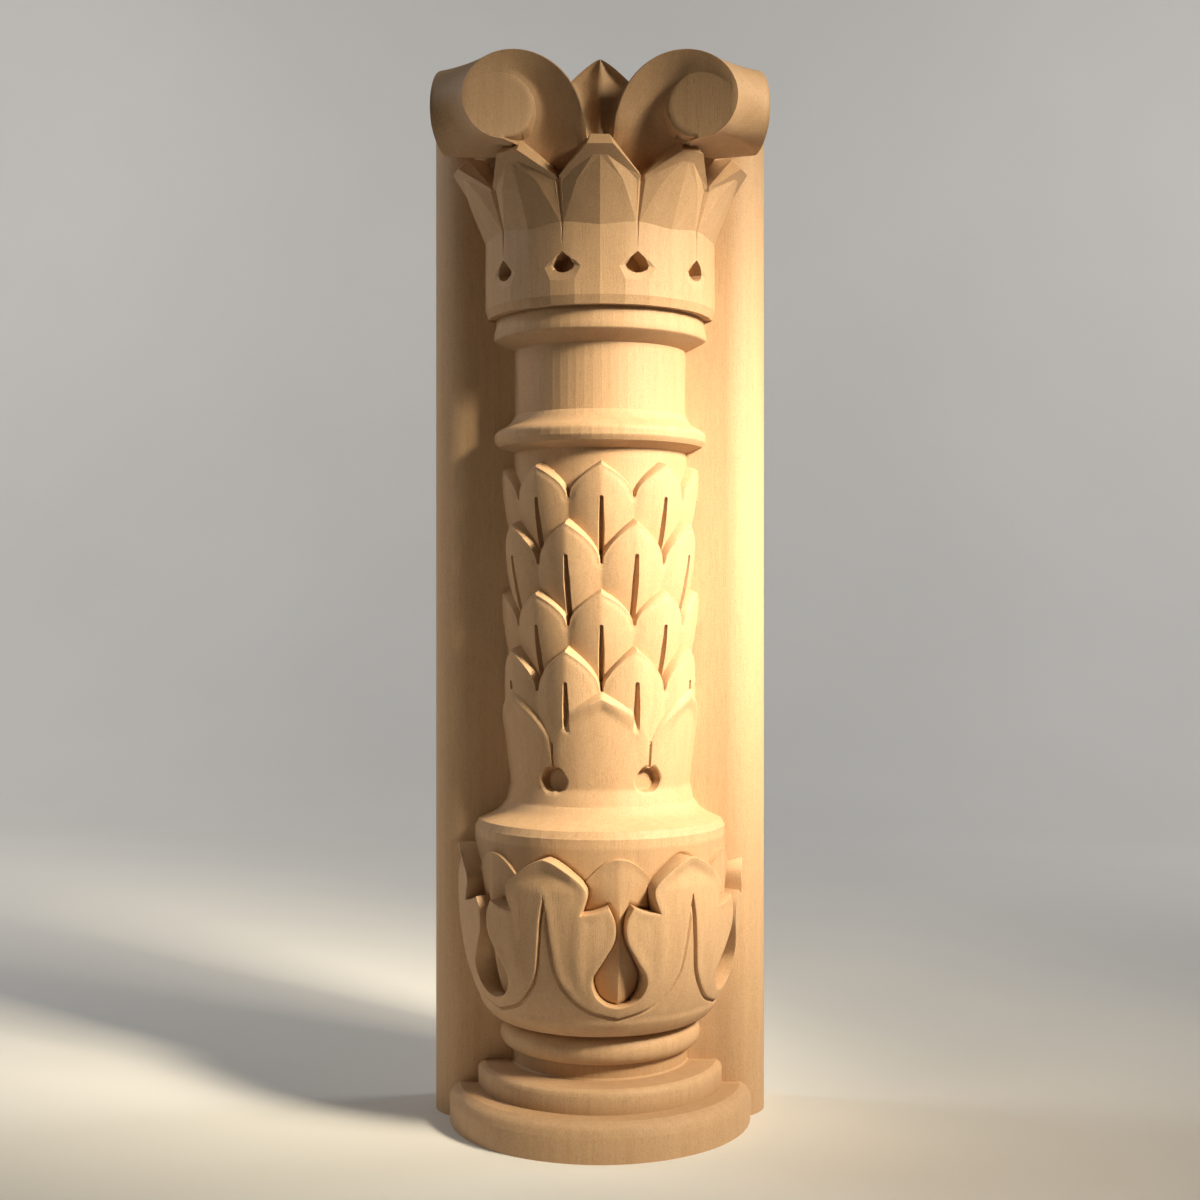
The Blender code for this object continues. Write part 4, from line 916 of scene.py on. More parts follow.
def bowl_lines():
    """The leaf edges of the bowl, drawn unrolled."""
    lobe, shoulder, drop, cup = bowl_outline(OUTLINE_STEPS)
    ridge = bowl_ridge(OUTLINE_STEPS)
    top = H_BOWL + FRONT_LEAF_TOP
    edge = [(a, BACK_LEAF_ARCH * a * a) for a in np.linspace(0.0, BACK_LEAF_HALF, 16)]
    beside = [lobe, shoulder, drop, cup, ridge, offset(cup, TONGUE_FLANK)]
    for gap in (-LEAF_WALL, LEAF_ROUND * 0.3, LEAF_ROUND):
        beside += [offset(lobe, gap), offset(shoulder, gap), offset(drop, gap), offset(cup, -gap)]
    lines = []
    for angle in around(BOWL_LEAVES, BOWL_TURN, LINES_REACH + 10.0):
        x = angle * BOWL_DEGREE
        for side in (-1, 1):
            lines += [[(x + side * p[0], p[1]) for p in line] for line in beside]
            lines.append([(x + side * a, top - d) for a, d in edge])
            lines.append([(x + side * a, top - d - BACK_LEAF_EDGE) for a, d in edge])
        lines.append([(x, top - BACK_LEAF_EDGE), (x, drop[-1][1] + 1.0)])
    return lines


def curve_rows(points, steps):
    """A smooth profile through a few (height, radius) pairs."""
    return [(float(h), float(r)) for h, r in flowing(points, steps)]


def foot_profile():
    """From the floor up to the start of the bowl's leaves, as (height, radius) pairs."""
    profile = [(0.0, DISC_R)]
    profile += curve_rows([(H_DISC_WALL, DISC_R),
                           (H_DISC_WALL + 0.62 * DISC_SHOULDER, DISC_R - 0.35 * DISC_BEVEL),
                           (H_DISC, DISC_R - DISC_BEVEL)], 5)
    profile += [(H_DISC, STEP_R)]
    profile += curve_rows([(H_STEP_WALL, STEP_R),
                           (H_STEP_WALL + 0.6 * STEP_SHOULDER, STEP_R - 0.3 * STEP_BEVEL),
                           (H_STEP, STEP_R - STEP_BEVEL)], 4)
    profile += [(H_STEP, FOOT_NECK_R + 1.0), (H_STEP + 1.0, FOOT_NECK_R), (H_TORUS, FOOT_NECK_R)]
    for turn in np.radians(np.linspace(-75.0, 75.0, 19)):
        swell = (TORUS_R - FOOT_NECK_R) * math.cos(turn)
        profile.append((H_TORUS + TORUS * 0.5 * (1.0 + math.sin(turn)), FOOT_NECK_R + swell))
    profile += [(H_TORUS + TORUS, FOOT_NECK_R + 1.0), (H_BOWL, FOOT_NECK_R + 1.0)]
    for turn in np.radians(np.linspace(90.0, BOWL_PLAIN_BELOW, 8)):
        height = H_BOWL_FULL - BOWL_ROUND * math.sin(turn)
        profile.append((height, float(bowl_leaf_surface(np.array(height)))))
    profile[-1] = (bowl_carve_foot(), profile[-1][1])
    return profile


def waist_profile():
    """From the bowl's leaves up to the shaft's leaves."""
    rows = [(H_BOWL_WALL, BOWL_RIM_R), (H_BOWL_RIM, BOWL_RIM_R)]
    rows += curve_rows([(H_BOWL_RIM + 0.5, BOWL_RIM_R - 0.3), (H_LIP, CAVETTO_LIP_R)], 3)
    hollow = [(H_LIP, CAVETTO_LIP_R), (H_HOLLOW, CAVETTO_MID_R), (H_HOLLOW_TOP, CAVETTO_UPPER_R)]
    return rows + curve_rows(hollow, 7)[1:]


def neck_profile():
    """From the shaft's leaves up into the bell."""
    rows = [(H_RING, SHAFT_R)]
    rows += curve_rows([(H_RING_WALL - 2.6, RING_R - RING_ROUND), (H_RING_WALL, RING_R - 0.2),
                        (H_RING_WALL + 1.5, RING_R), (H_RING_TOP - 1.5, RING_R),
                        (H_RING_TOP + 0.6, RING_R - RING_ROUND)], 3)
    rows += curve_rows([(H_RING_TOP + 0.6, RING_R - RING_ROUND),
                        (H_RING_TOP + 0.45 * RING_TOP, NECK_R + 0.3 * (RING_R - NECK_R)),
                        (H_NECK, NECK_R)], 5)[1:]
    rows += [(H_COLLAR, NECK_R)]
    rows += curve_rows([(H_COLLAR_WALL - 0.8, COLLAR_R - 1.0), (H_COLLAR_WALL, COLLAR_R - 0.15),
                        (H_COLLAR_WALL + 0.8, COLLAR_R), (H_COLLAR_TOP, COLLAR_R)], 2)
    return rows + [(H_GROOVE, COLLAR_R - COLLAR_ROUND), (H_BELL + INTO_BELL, COLLAR_R - COLLAR_ROUND)]


def column():
    """The turned and carved column from the floor up into the bell."""
    angles = [FACET_START + 360.0 / FACETS * k for k in range(-FACET_EACH_SIDE, FACET_EACH_SIDE)]
    skin = Skin(angles)
    skin.turned(foot_profile())
    carve(skin, bowl_carve_foot(), H_BOWL_WALL, BOWL_ROLL, bowl_radius, bowl_lines())
    skin.turned(waist_profile())
    carve(skin, H_HOLLOW_TOP, H_RING, SHAFT_ROLL, shaft_radius, shaft_lines())
    skin.turned(neck_profile())
    return skin.closed("column")


def crown_lines():
    """Half a crown leaf with the bell below it, as lines of (angle, height, radius).

    Angles run from the leaf's mid-line to the slit beside it. The facets are flat, as off a knife.
    """
    edge = 180.0 / CROWN_LEAVES
    facet = edge * 2.0 / 3.0
    slit = edge - CROWN_SLIT

    def out(share):
        return BELL_R + CROWN_REACH * share

    def up(share):
        return H_BEND + CROWN_RISE * share

    low_r = BELL_R - BELL_CHAMFER_IN
    eye = H_BEND - BELL_EYE_BELOW_BEND
    tip = up(1.0)
    across = (0, facet, edge)
    # Places that more than one line runs through, from the bend up to the rib's end near the tip
    bend = (0, H_BEND, BELL_R)
    shoulder = (facet, H_BEND + CROWN_SHOULDER, BELL_R)
    slit_side = (slit, H_BEND + CROWN_SLIT_FOOT, BELL_R)
    slit_foot = (edge, H_BEND + CROWN_SLIT_FOOT, BELL_R - CROWN_SLIT_IN)
    crease = (edge * 0.53, up(0.575), out(0.445))
    flank = (edge * 0.905, up(0.605), out(0.325))
    rib_end = (0, up(0.88), out(0.76))
    rib_side = (edge * 0.145, up(0.88), out(0.76))
    dish_top = (facet, eye + BELL_DISH_ABOVE, BELL_R)
    dish_foot = (facet, eye - BELL_DISH_BELOW, BELL_R)
    lines = [
        [(a, H_BELL, low_r) for a in across],
        [(a, H_BELL_EDGE, BELL_R) for a in across],
        [bend, shoulder, slit_side, slit_foot],
        [slit_side, (edge * 0.91, up(0.61), out(0.345))],
        [rib_end, rib_side, (edge * 0.58, up(0.735), out(0.5)), flank],
        [shoulder, crease, rib_side],
        [crease, flank],
        [(0, tip, out(1.0)), (edge * 0.26, tip, out(1.0)), (edge * 0.955, up(0.655), out(0.4))],
        [(0, tip + CROWN_LIP, out(0.7)), (edge * 0.2, tip + CROWN_LIP, out(0.7)),
         (edge * 0.955, up(0.68), out(0.36))],
        [(0, tip + CROWN_LIP + 0.5, KALATHOS_R), (edge * 0.23, tip + CROWN_LIP + 0.5, KALATHOS_R),
         (edge * 0.97, up(0.7), KALATHOS_R), (edge, up(0.7), KALATHOS_R)],
        [slit_foot, (edge, up(0.62), out(0.24))],
        [(a, H_KALATHOS, KALATHOS_R) for a in across],
        [(0, H_BELL_EDGE, BELL_R), bend],
        [(facet, H_BELL_EDGE, BELL_R), dish_foot],
        [dish_top, shoulder],
        [bend, rib_end, (0, tip, out(1.0))],
    ]
    rim = [(1.0, 6.8), (0.82, 3.8), (0.675, -0.6), (0.72, -2.9), (0.86, -4.5), (1.0, -4.9)]
    rim = [(edge * a, eye + h, BELL_R - (0.0 if h > 3 else 0.9)) for a, h in rim]
    floor = [(edge - (edge - a) * 0.8, eye + (h - eye) * 0.8, BELL_R - BELL_EYE_DEPTH)
             for a, h, _ in rim]
    dish = [(edge * 0.74, eye + 2.4, BELL_R), dish_top, (edge * 0.5, eye - 1.6, BELL_R), dish_foot,
            (edge, eye - 9.2, BELL_R)]
    lines += [rim, floor, [rim[1]] + dish]
    return lines


def crown():
    """The bell and its leaves: half a leaf is triangulated, mirrored and set round the axis."""
    places, points, chains = {}, [], []
    for line in crown_lines():
        chain = []
        for angle, height, radius in line:
            key = (round(angle, 4), round(height, 4))
            if key not in places:
                places[key] = len(points)
                points.append((angle, height, radius))
            chain.append(places[key])
        chains.append(chain)
    edge = 180.0 / CROWN_LEAVES
    for side in (0.0, edge):
        column_of = sorted((p[1], i) for i, p in enumerate(points) if abs(p[0] - side) < 1e-6)
        chains.append([i for _, i in column_of])
    flat = [(a * math.radians(1.0) * BELL_R, h) for a, h, _ in points]
    _, faces, origins = triangulate(flat, chains)
    spots, loops = [], []
    for leaf in range(-2, 3):
        for side in (-1, 1):
            start = len(spots)
            for origin in origins:
                angle, height, radius = points[origin[0]]
                spots.append((leaf * 2 * edge + side * angle, height, radius))
            loops += [tuple(start + i for i in loop) for loop in faces]
    hubs = {}
    for level in (H_BELL, H_KALATHOS):
        hubs[level] = len(spots)
        spots.append((0.0, level, 0.0))
        ring = sorted({round(s[0], 4): i for i, s in enumerate(spots)
                       if abs(s[1] - level) < 1e-6 and s[2] > 0}.items())
        loops += [(hubs[level], a, b) for (_, a), (_, b) in zip(ring, ring[1:])]
    side_chain = chains[-1]
    order = {origin[0]: i for i, origin in enumerate(origins)}
    for side, leaf in ((-1, -2), (1, 2)):
        block = ((leaf + 2) * 2 + (side > 0)) * len(origins)
        loops.append([hubs[H_BELL]] + [block + order[i] for i in side_chain] + [hubs[H_KALATHOS]])
    turned = [(math.radians(t), h, r) for t, h, r in spots]
    placed = [(r * math.sin(t) * MM, -r * math.cos(t) * MM, h * MM) for t, h, r in turned]
    return solid("crown", placed, loops)


def scroll_outline():
    """The face of a corner scroll round its eye: (towards the middle, up, share of the turn) points."""
    line = []
    for turn in np.linspace(0.0, SCROLL_END, SCROLL_STEPS):
        reach = SCROLL_EDGE_R + SCROLL_GROWTH * turn ** SCROLL_POWER
        angle = math.radians(270.0 - 90.0 * turn)
        line.append((reach * math.cos(angle), reach * math.sin(angle), turn))
    for (x0, z0), (x1, z1) in zip(STEM, STEM[1:] + ((line[0][0], line[0][1]),)):
        for share in SCROLL_EDGE_STEPS:
            x, z = x0 + (x1 - x0) * share, z0 + (z1 - z0) * share
            line.append((x, z, (270.0 - math.degrees(math.atan2(z, x))) / 90.0))
    return line


def scroll_depth(x, z):
    """How far in front of the axis the scroll's face lies, x inwards and z up from its eye."""
    face = SCROLL_FACE + SCROLL_FACE_HOLLOW * (SCROLL_X - x) ** 2
    lean = STEM_LEAN * (max(0.0, STEM_LEAN_TOP - z) / STEM_LEAN_OVER) ** 2
    return face - lean * eased(x, 0.0, STEM_EASE)


def band_sink(gap, turn, x):
    """How deep the band lies under the scroll's face, at some distance from the eye's edge."""
    wide = SCROLL_GROWTH * min(turn, BAND_GROWS_TO) ** SCROLL_POWER + SCROLL_EDGE_R - SCROLL_EYE_R
    left = max(0.0, 1.0 - gap / wide)
    sink = SCROLL_SINK * (eased(turn, *BAND_SUNK) * eased_out(turn, *BAND_SUNK_TO))
    wall = float(smooth_step(gap / (EYE_WALL * wide)))
    return sink * wall * left ** BAND_SLOPE + EYE_TILT * max(0.0, x + SCROLL_EDGE_R) * left


def scroll(side):
    """A corner scroll: its front face, the same face turned to the side, and the rim ruled between."""
    outline = scroll_outline()
    rings = []

    def eye_place(x, z, turn):
        angle = math.atan2(z, x)
        outer = math.hypot(x, z) - EYE_INSET
        eye = outer + (min(SCROLL_EYE_R, outer) - outer) * eased(turn, *EYE_APART)
        return eye * math.cos(angle), eye * math.sin(angle)

    for share in EYE_RINGS:
        ring = []
        for x, z, turn in outline:
            ex, ez = eye_place(x, z, turn)
            px, pz = ex * share, ez * share
            near = min(1.0, max(0.0, (share - (1.0 - EYE_ROUND_WIDE)) / EYE_ROUND_WIDE))
            round_off = EYE_EDGE_ROUND * (1.0 - math.sqrt(1.0 - near * near))
            round_off *= eased(turn, *EYE_ROUNDED)
            depth = SCROLL_FACE + SCROLL_FACE_HOLLOW * (SCROLL_X - px) ** 2
            ring.append((px, depth - EYE_TILT * max(0.0, px + SCROLL_EDGE_R) - round_off, pz))
        rings.append(ring)
    for share in BAND_RINGS:
        ring = []
        for x, z, turn in outline:
            ex, ez = eye_place(x, z, turn)
            px, pz = ex + (x - ex) * share, ez + (z - ez) * share
            depth = scroll_depth(px, pz) - band_sink(math.hypot(px - ex, pz - ez), turn, px)
            if turn < BAND_GROWS_TO:
                near = max(0.0, (share - (1.0 - OUTLINE_ROUND_WIDE)) / OUTLINE_ROUND_WIDE)
                depth -= OUTLINE_ROUND * near
            ring.append((px, depth, pz))
        rings.append(ring)
    depth = SCROLL_FACE + SCROLL_FACE_HOLLOW * SCROLL_X ** 2 - EYE_TILT * SCROLL_EDGE_R
    centre = (0.0, depth, 0.0)
    count = len(outline)
    spots, faces = [], []

    def add(ring, turned):
        start = len(spots)
        for x, depth, z in ring:
            across, out = SCROLL_X - x, depth
            if turned:
                across, out = out, across
            spots.append((side * across * MM, -out * MM, (H_SCROLL_EYE + z) * MM))
        return start

    def bridge(a, b):
        for i in range(count):
            j = (i + 1) % count
            faces.append([a + i, a + j, b + j, b + i])

    starts = {}
    for turned in (False, True):
        hub = add([centre], turned)
        bands = [add(ring, turned) for ring in rings]
        faces.extend([hub, bands[0] + i, bands[0] + (i + 1) % count] for i in range(count))
        for a, b in zip(bands, bands[1:]):
            bridge(a, b)
        starts[turned] = bands[-1]
    before = starts[False]
    for number in range(1, RIM_ROWS):
        share = number / RIM_ROWS
        after = len(spots)
        for i, (x, z, turn) in enumerate(outline):
            front, back = spots[starts[False] + i], spots[starts[True] + i]
            bend = 4.0 * share * (1.0 - share)
            upward = float(smooth_step(0.5 + z / RIM_TOP_EASE))
            deep = SCROLL_RIM_HOLLOW + (SCROLL_TOP_HOLLOW - SCROLL_RIM_HOLLOW) * upward
            pull = deep * bend / math.hypot(x, z) * MM * eased_out(turn, *RIM_HOLLOW_TO)
            inward = x * pull * math.sqrt(0.5)
            stem = eased(min(turn, STEM_MIDDLE - turn), *STEM_FROM)
            shrink = 1.0 - STEM_HOLLOW * bend * stem
            under = eased_out(x, *STEM_LIFT_TO) * eased(x, *STEM_LIFT_FROM) * (z < 0.0)
            spots.append((((1.0 - share) * front[0] + share * back[0]) * shrink + side * inward,
                          ((1.0 - share) * front[1] + share * back[1]) * shrink - inward,
                          front[2] - z * pull + STEM_LIFT * bend * under * MM))
        bridge(before, after)
        before = after
    bridge(before, starts[True])
    return solid("scroll", spots, faces)


def middle_leaf():
    """The pointed leaf between the scrolls, with a rib and two hollows."""
    drops = list(-np.linspace(MID_LEAF_BODY, MID_LEAF_POINT, 12))
    drops += list(-MID_LEAF_POINT * np.linspace(1.0, 0.12, 14)[1:] ** 1.4)
    columns = [-share for share in MID_LEAF_COLUMNS] + list(MID_LEAF_COLUMNS[::-1])
    spots, faces, levels = [], [], []
    top = H_SCROLL_TOP + MID_LEAF_ABOVE_SCROLLS
    for drop in drops:
        half = MID_LEAF_HALF * min(1.0, (-drop / MID_LEAF_POINT)) ** MID_LEAF_ROUND
        below = max(0.0, (-drop - MID_LEAF_POINT) / (MID_LEAF_BODY - MID_LEAF_POINT))
        half *= 1.0 - MID_LEAF_TAPER * below
        height = top + drop
        free = height > H_KALATHOS
        back = MID_LEAF_FACE - MID_LEAF_THICK if free else KALATHOS_R - MID_LEAF_INTO_CORE
        rows = []
        for front in (True, False):
            rows.append(len(spots))
            for share in columns:
                hollow = MID_LEAF_HOLLOW * math.sin(math.pi * abs(share) ** MID_LEAF_RIB)
                hollow *= min(1.0, half / MID_LEAF_FLATTENS)
                depth = MID_LEAF_FACE - hollow if front else back
                spots.append((share * half * MM, -depth * MM, height * MM))
        levels.append(rows)
    count = len(columns)
    for (front_a, back_a), (front_b, back_b) in zip(levels, levels[1:]):
        for a, b in ((front_a, front_b), (back_a, back_b)):
            faces += [[a + i, a + i + 1, b + i + 1, b + i] for i in range(count - 1)]
        for end in (0, count - 1):
            faces.append([front_a + end, front_b + end, back_b + end, back_a + end])
    tip = len(spots)
    spots += [(0.0, -depth * MM, top * MM) for depth in (MID_LEAF_FACE, MID_LEAF_FACE - MID_LEAF_THICK)]
    front, back = levels[-1]
    for start, end in ((front, tip), (back, tip + 1)):
        faces += [[start + i, start + i + 1, end] for i in range(count - 1)]
    for end in (0, count - 1):
        faces.append([front + end, tip, tip + 1, back + end])
    front, back = levels[0]
    faces.append([front + i for i in range(count)] + [back + i for i in range(count)][::-1])
    return solid("middle_leaf", spots, faces)


def board():
    """The back board with rounded front edges, full height, its other edges just taken off."""
    half = BOARD_WIDTH / 2

    def outline(inset):
        edge, back = half - inset, BOARD_BACK - inset
        line = [(-edge + BOARD_ARRIS, back), (edge - BOARD_ARRIS, back), (edge, back - BOARD_ARRIS)]
        for side in (1, -1):
            turns = np.radians(np.linspace(0.0, 90.0, BOARD_STEPS))
            reach = BOARD_CORNER - inset
            arc = [(side * (half - BOARD_CORNER + reach * math.cos(t)),
                    -BOARD_FRONT + BOARD_CORNER - reach * math.sin(t)) for t in turns]
            line += arc if side > 0 else arc[::-1]
        return line + [(-edge, back - BOARD_ARRIS)]

    rows = [(0.0, 0.0), (H_TOP - BOARD_ARRIS, 0.0), (H_TOP, BOARD_ARRIS)]
    count = len(outline(0.0))
    spots = [(x * MM, y * MM, h * MM) for h, inset in rows for x, y in outline(inset)]
    faces = [list(range(count)), list(range(2 * count, 3 * count))]
    for low in (0, count):
        faces += [[low + i, low + (i + 1) % count, low + count + (i + 1) % count, low + count + i]
                  for i in range(count)]
    return solid("colonette_carving", spots, faces)


def unite(body, parts):
    """Joins the parts to the body as one solid and removes them."""
    for part in parts:
        joint = body.modifiers.new(part.name, "BOOLEAN")
        joint.operation = "UNION"
        joint.solver = "EXACT"
        joint.object = part
    graph = bpy.context.evaluated_depsgraph_get()
    united = bpy.data.meshes.new_from_object(body.evaluated_get(graph))
    body.modifiers.clear()
    body.data = united
    for part in parts:
        bpy.data.objects.remove(part)


def facet_edge(edge):
    """Whether an edge runs straight up a turned moulding, between two of its flat facets."""
    first, last = (end.co for end in edge.verts)
    low, high = sorted((first.z / MM, last.z / MM))
    bands = ((-0.1, bowl_carve_foot() + 0.1), (H_BOWL_WALL - 0.1, H_HOLLOW_TOP + 0.1),
             (H_RING - 0.1, H_BELL + 0.1))
    if not any(low > start and high < end for start, end in bands):
        return False
    turn = [math.atan2(p.x, -p.y) for p in (first, last)]
    return abs(turn[0] - turn[1]) < 1e-4 and first.y < 0.0


def shaded(body):
    """Merges points that a joint left almost together and sets which edges stay crisp."""
    work = bmesh.new()
    work.from_mesh(body.data)
    bmesh.ops.dissolve_degenerate(work, edges=work.edges, dist=JOINT_GAP * MM)
    bmesh.ops.remove_doubles(work, verts=work.verts, dist=JOINT_GAP * MM)
    bmesh.ops.triangulate(work, faces=work.faces)
    for face in work.faces:
        face.smooth = True
    crown_low, crown_high = H_BELL - 0.1, H_BEND + CROWN_RISE + CROWN_LIP + 0.1
    for edge in work.edges:
        heights = [end.co.z / MM for end in edge.verts]
        limit = SHARP
        if min(heights) > crown_low and max(heights) < crown_high:
            limit = BELL_SHARP
        elif facet_edge(edge):
            limit = FACET_SHARP
        edge.smooth = edge.calc_face_angle(math.pi) < math.radians(limit)
    work.to_mesh(body.data)
    work.free()


def mark_painted_shade(body):
    """Notes how deep each point lies in the carving, from 0 on the outer faces to 1 in the cuts, as its
    share of painted shade.
    """
    mesh = body.data
    spots = np.zeros(len(mesh.vertices) * 3, np.float32)
    mesh.vertices.foreach_get("co", spots)
    x, y, z = spots.reshape(-1, 3).astype(float).T / MM
    radius = np.hypot(x, y)
    levels = (0.0, H_DISC, H_DISC + 0.1, H_STEP, H_STEP + 0.1, H_TORUS, H_BOWL, H_BOWL + 0.1)
    radii = (DISC_R, DISC_R, STEP_R, STEP_R, TORUS_R, TORUS_R, TORUS_R, TORUS_R)
    outer = np.interp(z, levels, radii)
    outer = np.where(z > H_BOWL + 1.0, bowl_leaf_surface(z), outer)
    upper = ((H_BOWL_WALL, BOWL_RIM_R), (H_LIP, CAVETTO_LIP_R), (H_HOLLOW_TOP, CAVETTO_UPPER_R),
             (H_SHAFT + TALL_TIP, SHAFT_R + SCALE_PROUDS[0]),
             (H_RING - SCALE_BELOW_RING, SHAFT_R + SCALE_PROUDS[0]),
             (H_RING, SHAFT_R), (H_RING_WALL, RING_R), (H_RING_TOP, RING_R), (H_NECK, NECK_R),
             (H_COLLAR, NECK_R), (H_COLLAR_WALL, COLLAR_R), (H_GROOVE, COLLAR_R), (H_BELL, BELL_R),
             (H_BEND, BELL_R), (H_BEND + 1.0, KALATHOS_R))
    outer = np.where(z > H_BOWL_WALL - 0.5, np.interp(z, *zip(*upper)), outer)
    front = (y < -BOARD_FRONT - 0.5) & (z > 0.5) & (z < H_KALATHOS)
    # Painted shade: the share grows with the depth of a point under the outer faces
    deep = np.where(front, np.clip((outer - radius - PAINTED_SHADE_FROM) / PAINTED_SHADE_OVER, 0.0, 1.0), 0.0)
    layer = mesh.attributes.new("painted_recess_shade", "FLOAT", "POINT")
    layer.data.foreach_set("value", deep.astype(np.float32))


# Materials

class Nodes:
    """Adds and links shader nodes in one tree."""

    def __init__(self, tree):
        self.tree = tree

    def add(self, kind, links=None, **values):
        node = self.tree.nodes.new("ShaderNode" + kind)
        for name, value in values.items():
            setattr(node, name, value)
        for socket, source in (links or {}).items():
            if isinstance(source, bpy.types.NodeSocket):
                self.tree.links.new(source, node.inputs[socket])
            else:
                node.inputs[socket].default_value = source
        return node

    def ramp(self, source, stops):
        """Maps a value to colours or greys, as (place, grey or colour) stops."""
        node = self.add("ValToRGB", {"Fac": source})
        bar = node.color_ramp.elements
        while len(bar) < len(stops):
            bar.new(0.5)
        for point, (place, tone) in zip(bar, stops):
            point.position = place
            point.color = tuple(tone) + (1.0,) if isinstance(tone, tuple) else (tone, tone, tone, 1.0)
        return node.outputs["Color"]

    def noise(self, vector, scale, detail=2.0, rough=0.5):
        links = {"Vector": vector, "Scale": scale, "Detail": detail, "Roughness": rough}
        return self.add("TexNoise", links).outputs["Fac"]

    def math(self, operation, first, second=0.0):
        return self.add("Math", {0: first, 1: second}, operation=operation).outputs[0]

    def mix(self, share, first, second):
        node = self.add("Mix", data_type="RGBA")
        for number, value in ((0, share), (6, first), (7, second)):
            if isinstance(value, bpy.types.NodeSocket):
                self.tree.links.new(value, node.inputs[number])
            else:
                node.inputs[number].default_value = value
        return node.outputs[2]


def bare_wood():
    """Pale close-grained wood, carved and lightly sanded: upright fibres, faint rings and fine pores, with
    painted shade in the cuts.
    """
    wood = bpy.data.materials.new("bare_pale_wood")
    wood.use_nodes = True
    tree = wood.node_tree
    shader = tree.nodes["Principled BSDF"]
    use = Nodes(tree)
    place = use.add("TexCoord").outputs["Object"]

    def stretched(up):
        return use.add("Mapping", {"Vector": place, "Scale": (1.0, 1.0, up)}).outputs["Vector"]

    # Rings round a pith behind the board, bent a little
    bend = use.add("TexNoise", {"Vector": stretched(0.12), "Scale": 9.0, "Detail": 2.0})
    bent = use.add("MixRGB", {"Fac": 0.02, "Color1": place, "Color2": bend.outputs["Color"]}).outputs[0]
    apart = use.add("VectorMath", {0: bent, 1: PITH}, operation="SUBTRACT").outputs[0]
    flat = use.add("VectorMath", {0: apart, 1: (1.0, 1.0, 0.015)}, operation="MULTIPLY").outputs[0]
    reach = use.add("VectorMath", {0: flat}, operation="LENGTH").outputs["Value"]
    rings = use.math("SINE", use.math("MULTIPLY", reach, RINGS_EACH_METRE))
    rings = use.math("MULTIPLY_ADD", rings, 0.5)
    rings.node.inputs[2].default_value = 0.5
    fibre = use.noise(stretched(FIBRE_UP), FIBRE_SCALE, 3.0, 0.6)
    streak = use.noise(stretched(STREAK_UP), STREAK_SCALE, 2.0, 0.55)
    pores = use.ramp(use.noise(stretched(PORE_UP), PORE_SCALE, 1.0), [(0.30, 1.0), (0.40, 0.0)])
    mottle = use.noise(place, MOTTLE_SCALE, 2.0, 0.7)
    tone = use.ramp(streak, STREAK_TONES)
    tone = use.mix(use.math("MULTIPLY", rings, RING_SHARE), tone, RING_TONE)
    tone = use.mix(FIBRE_SHARE, tone, use.ramp(fibre, FIBRE_TONES))
    tone = use.mix(MOTTLE_SHARE, tone, use.ramp(mottle, MOTTLE_TONES))
    tone = use.mix(use.math("MULTIPLY", pores, PORE_SHARE), tone, PORE_TONE)
    # Painted shade: the wood is darkened in the recesses of the carving, where shade falls
    painted_recess_shade = use.add("Attribute", attribute_name="painted_recess_shade").outputs["Fac"]
    tone = use.mix(use.math("MULTIPLY", painted_recess_shade, PAINTED_SHADE_SHARE), tone, PAINTED_SHADE_TONE)
    tree.links.new(tone, shader.inputs["Base Color"])
    rough = use.ramp(fibre, [(0.25, 0.52), (0.75, 0.68)])
    tree.links.new(rough, shader.inputs["Roughness"])
    shader.inputs["Specular IOR Level"].default_value = 0.35
    grain = use.math("ADD", use.math("MULTIPLY", fibre, 0.6), use.math("MULTIPLY", mottle, 0.5))
    grain = use.math("SUBTRACT", grain, use.math("MULTIPLY", pores, 0.5))
    bump = use.add("Bump", {"Height": grain, "Strength": 0.35, "Distance": GRAIN_HEIGHT})
    tree.links.new(bump.outputs["Normal"], shader.inputs["Normal"])
    return wood


def pale_ground():
    """Matt pale paper sweep."""
    paper = bpy.data.materials.new("pale_sweep")
    paper.use_nodes = True
    use = Nodes(paper.node_tree)
    shader = paper.node_tree.nodes["Principled BSDF"]
    shader.inputs["Roughness"].default_value = 0.9
    place = use.add("TexCoord").outputs["Object"]
    tone = use.ramp(use.noise(place, 3.0), PAPER_TONES)
    paper.node_tree.links.new(tone, shader.inputs["Base Color"])
    return paper


# Stage, lights and camera

def sweep():
    """A floor that curves up into a backdrop well behind the colonette."""
    profile = [(SWEEP_START, 0.0), (SWEEP_BEND_FROM, 0.0)]
    profile += [(SWEEP_BEND_FROM + SWEEP_BEND * math.sin(t), SWEEP_BEND - SWEEP_BEND * math.cos(t))
                for t in np.linspace(0.0, math.pi / 2, SWEEP_STEPS)[1:]]
    profile.append((SWEEP_BEND_FROM + SWEEP_BEND, SWEEP_TOP))
    spots = [(x, y, z) for y, z in profile for x in (-SWEEP_HALF, SWEEP_HALF)]
    faces = [(2 * i, 2 * i + 1, 2 * i + 3, 2 * i + 2) for i in range(len(profile) - 1)]
    mesh = bpy.data.meshes.new("sweep")
    mesh.from_pydata(spots, [], faces)
    for face in mesh.polygons:
        face.use_smooth = True
    made = bpy.data.objects.new("sweep", mesh)
    bpy.context.scene.collection.objects.link(made)
    mesh.materials.append(pale_ground())


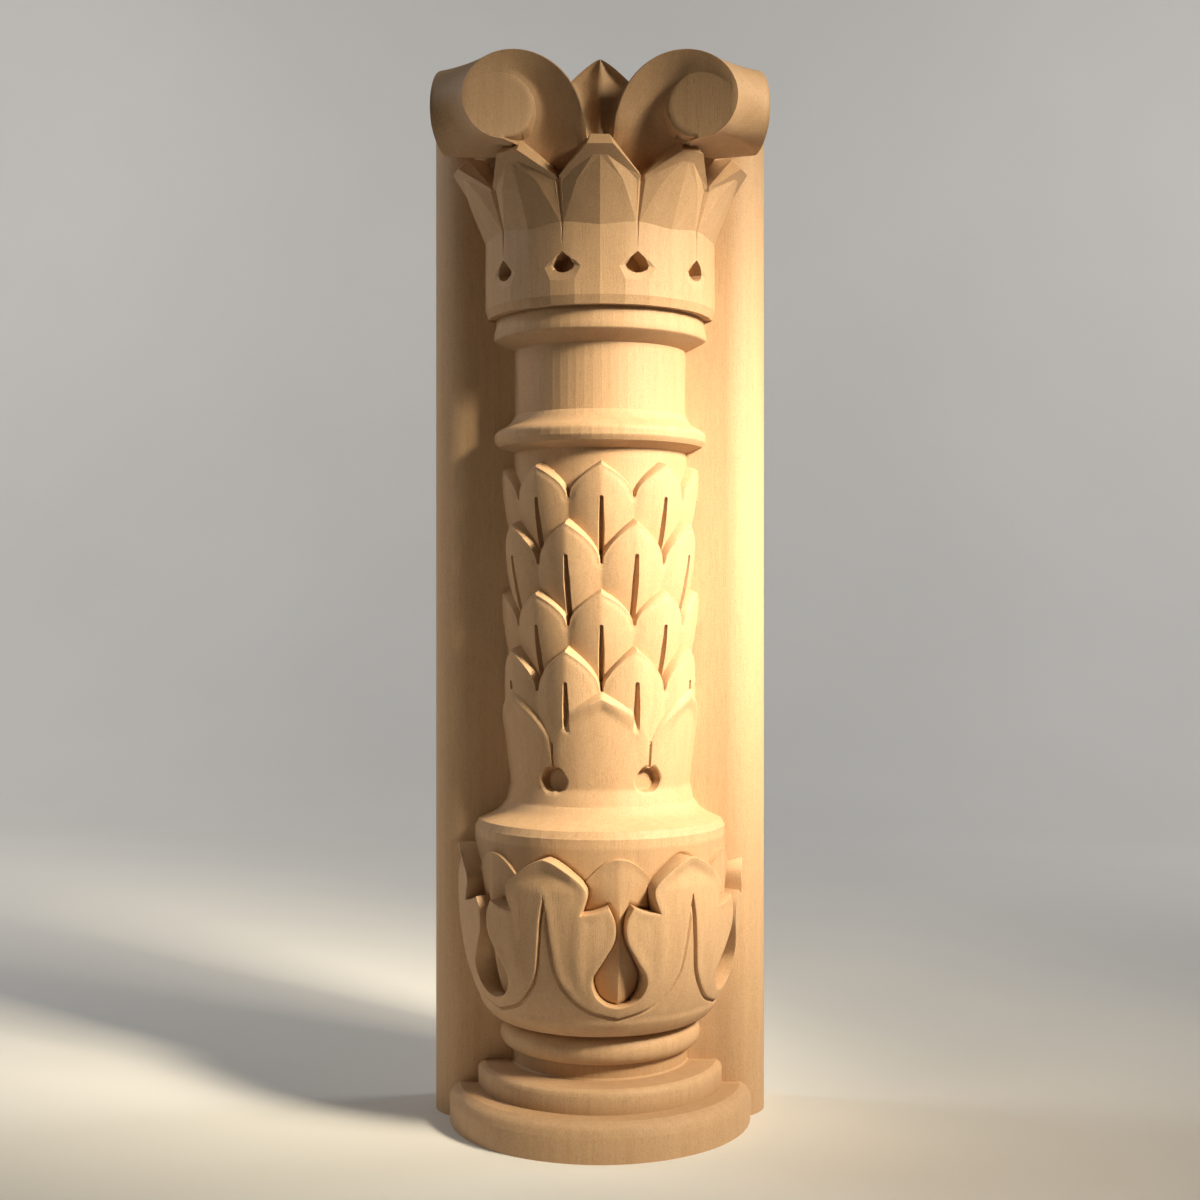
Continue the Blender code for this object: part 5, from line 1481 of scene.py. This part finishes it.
def lamp(name, spot, aim, size, power, colour, spread=180.0):
    """A soft square lamp turned towards a point, kept out of the picture itself."""
    light = bpy.data.lights.new(name, "AREA")
    light.size = size
    light.energy = power
    light.color = colour
    light.spread = math.radians(spread)
    made = bpy.data.objects.new(name, light)
    bpy.context.scene.collection.objects.link(made)
    made.location = spot
    made.rotation_euler = (Vector(spot) - Vector(aim)).to_track_quat("Z", "Y").to_euler()
    made.visible_camera = False


def round_axis(azimuth, elevation, distance, height):
    """A place seen from a height on the column's axis, at some azimuth from the front towards +X."""
    turn, lift = math.radians(azimuth), math.radians(elevation)
    return (distance * math.cos(lift) * math.sin(turn), -distance * math.cos(lift) * math.cos(turn),
            height + distance * math.sin(lift))


def stage():
    """Floor, soft lamps and the camera at the picture's eye point."""
    sweep()
    for name, azimuth, elevation, distance, height, size, power, spread in CARVING_LAMPS:
        spot = round_axis(azimuth, elevation, distance, height)
        lamp(name, spot, (0.0, 0.0, height), size, power, WARM, spread)
    for side, name in ((-1, "left_ground_lamp"), (1, "right_ground_lamp")):
        spot, aim = ((side * place[0],) + place[1:] for place in (GROUND_SPOT, GROUND_AIM))
        lamp(name, spot, aim, GROUND_SIZE, GROUND_POWER, GROUND_COLOUR)
    world = bpy.data.worlds.new("soft_room")
    world.use_nodes = True
    sky = world.node_tree.nodes["Background"]
    sky.inputs["Color"].default_value = ROOM_COLOUR
    room = Nodes(world.node_tree)
    seen = room.add("LightPath").outputs["Is Camera Ray"]
    glow = room.add("Math", {0: seen, 1: ROOM_SEEN, 2: ROOM_LIGHT}, operation="MULTIPLY_ADD").outputs[0]
    world.node_tree.links.new(glow, sky.inputs["Strength"])
    bpy.context.scene.world = world
    bpy.context.scene.view_settings.view_transform = "Standard"
    view = bpy.data.cameras.new("eye_point")
    view.sensor_width = 36.0
    view.lens = FOCAL
    camera = bpy.data.objects.new("eye_point", view)
    camera.location = (0.0, -EYE_BACK, EYE_UP)
    camera.rotation_euler = (math.pi / 2, 0.0, 0.0)
    bpy.context.scene.collection.objects.link(camera)
    bpy.context.scene.camera = camera


def carving():
    """The whole colonette as one carved piece."""
    body = board()
    unite(body, [column(), crown(), scroll(-1), scroll(1), middle_leaf()])
    shaded(body)
    mark_painted_shade(body)
    body.data.name = "colonette_carving"
    body.data.materials.clear()
    body.data.materials.append(bare_wood())
    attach(body, "root")
    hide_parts("carved_colonette")


carving()
stage()
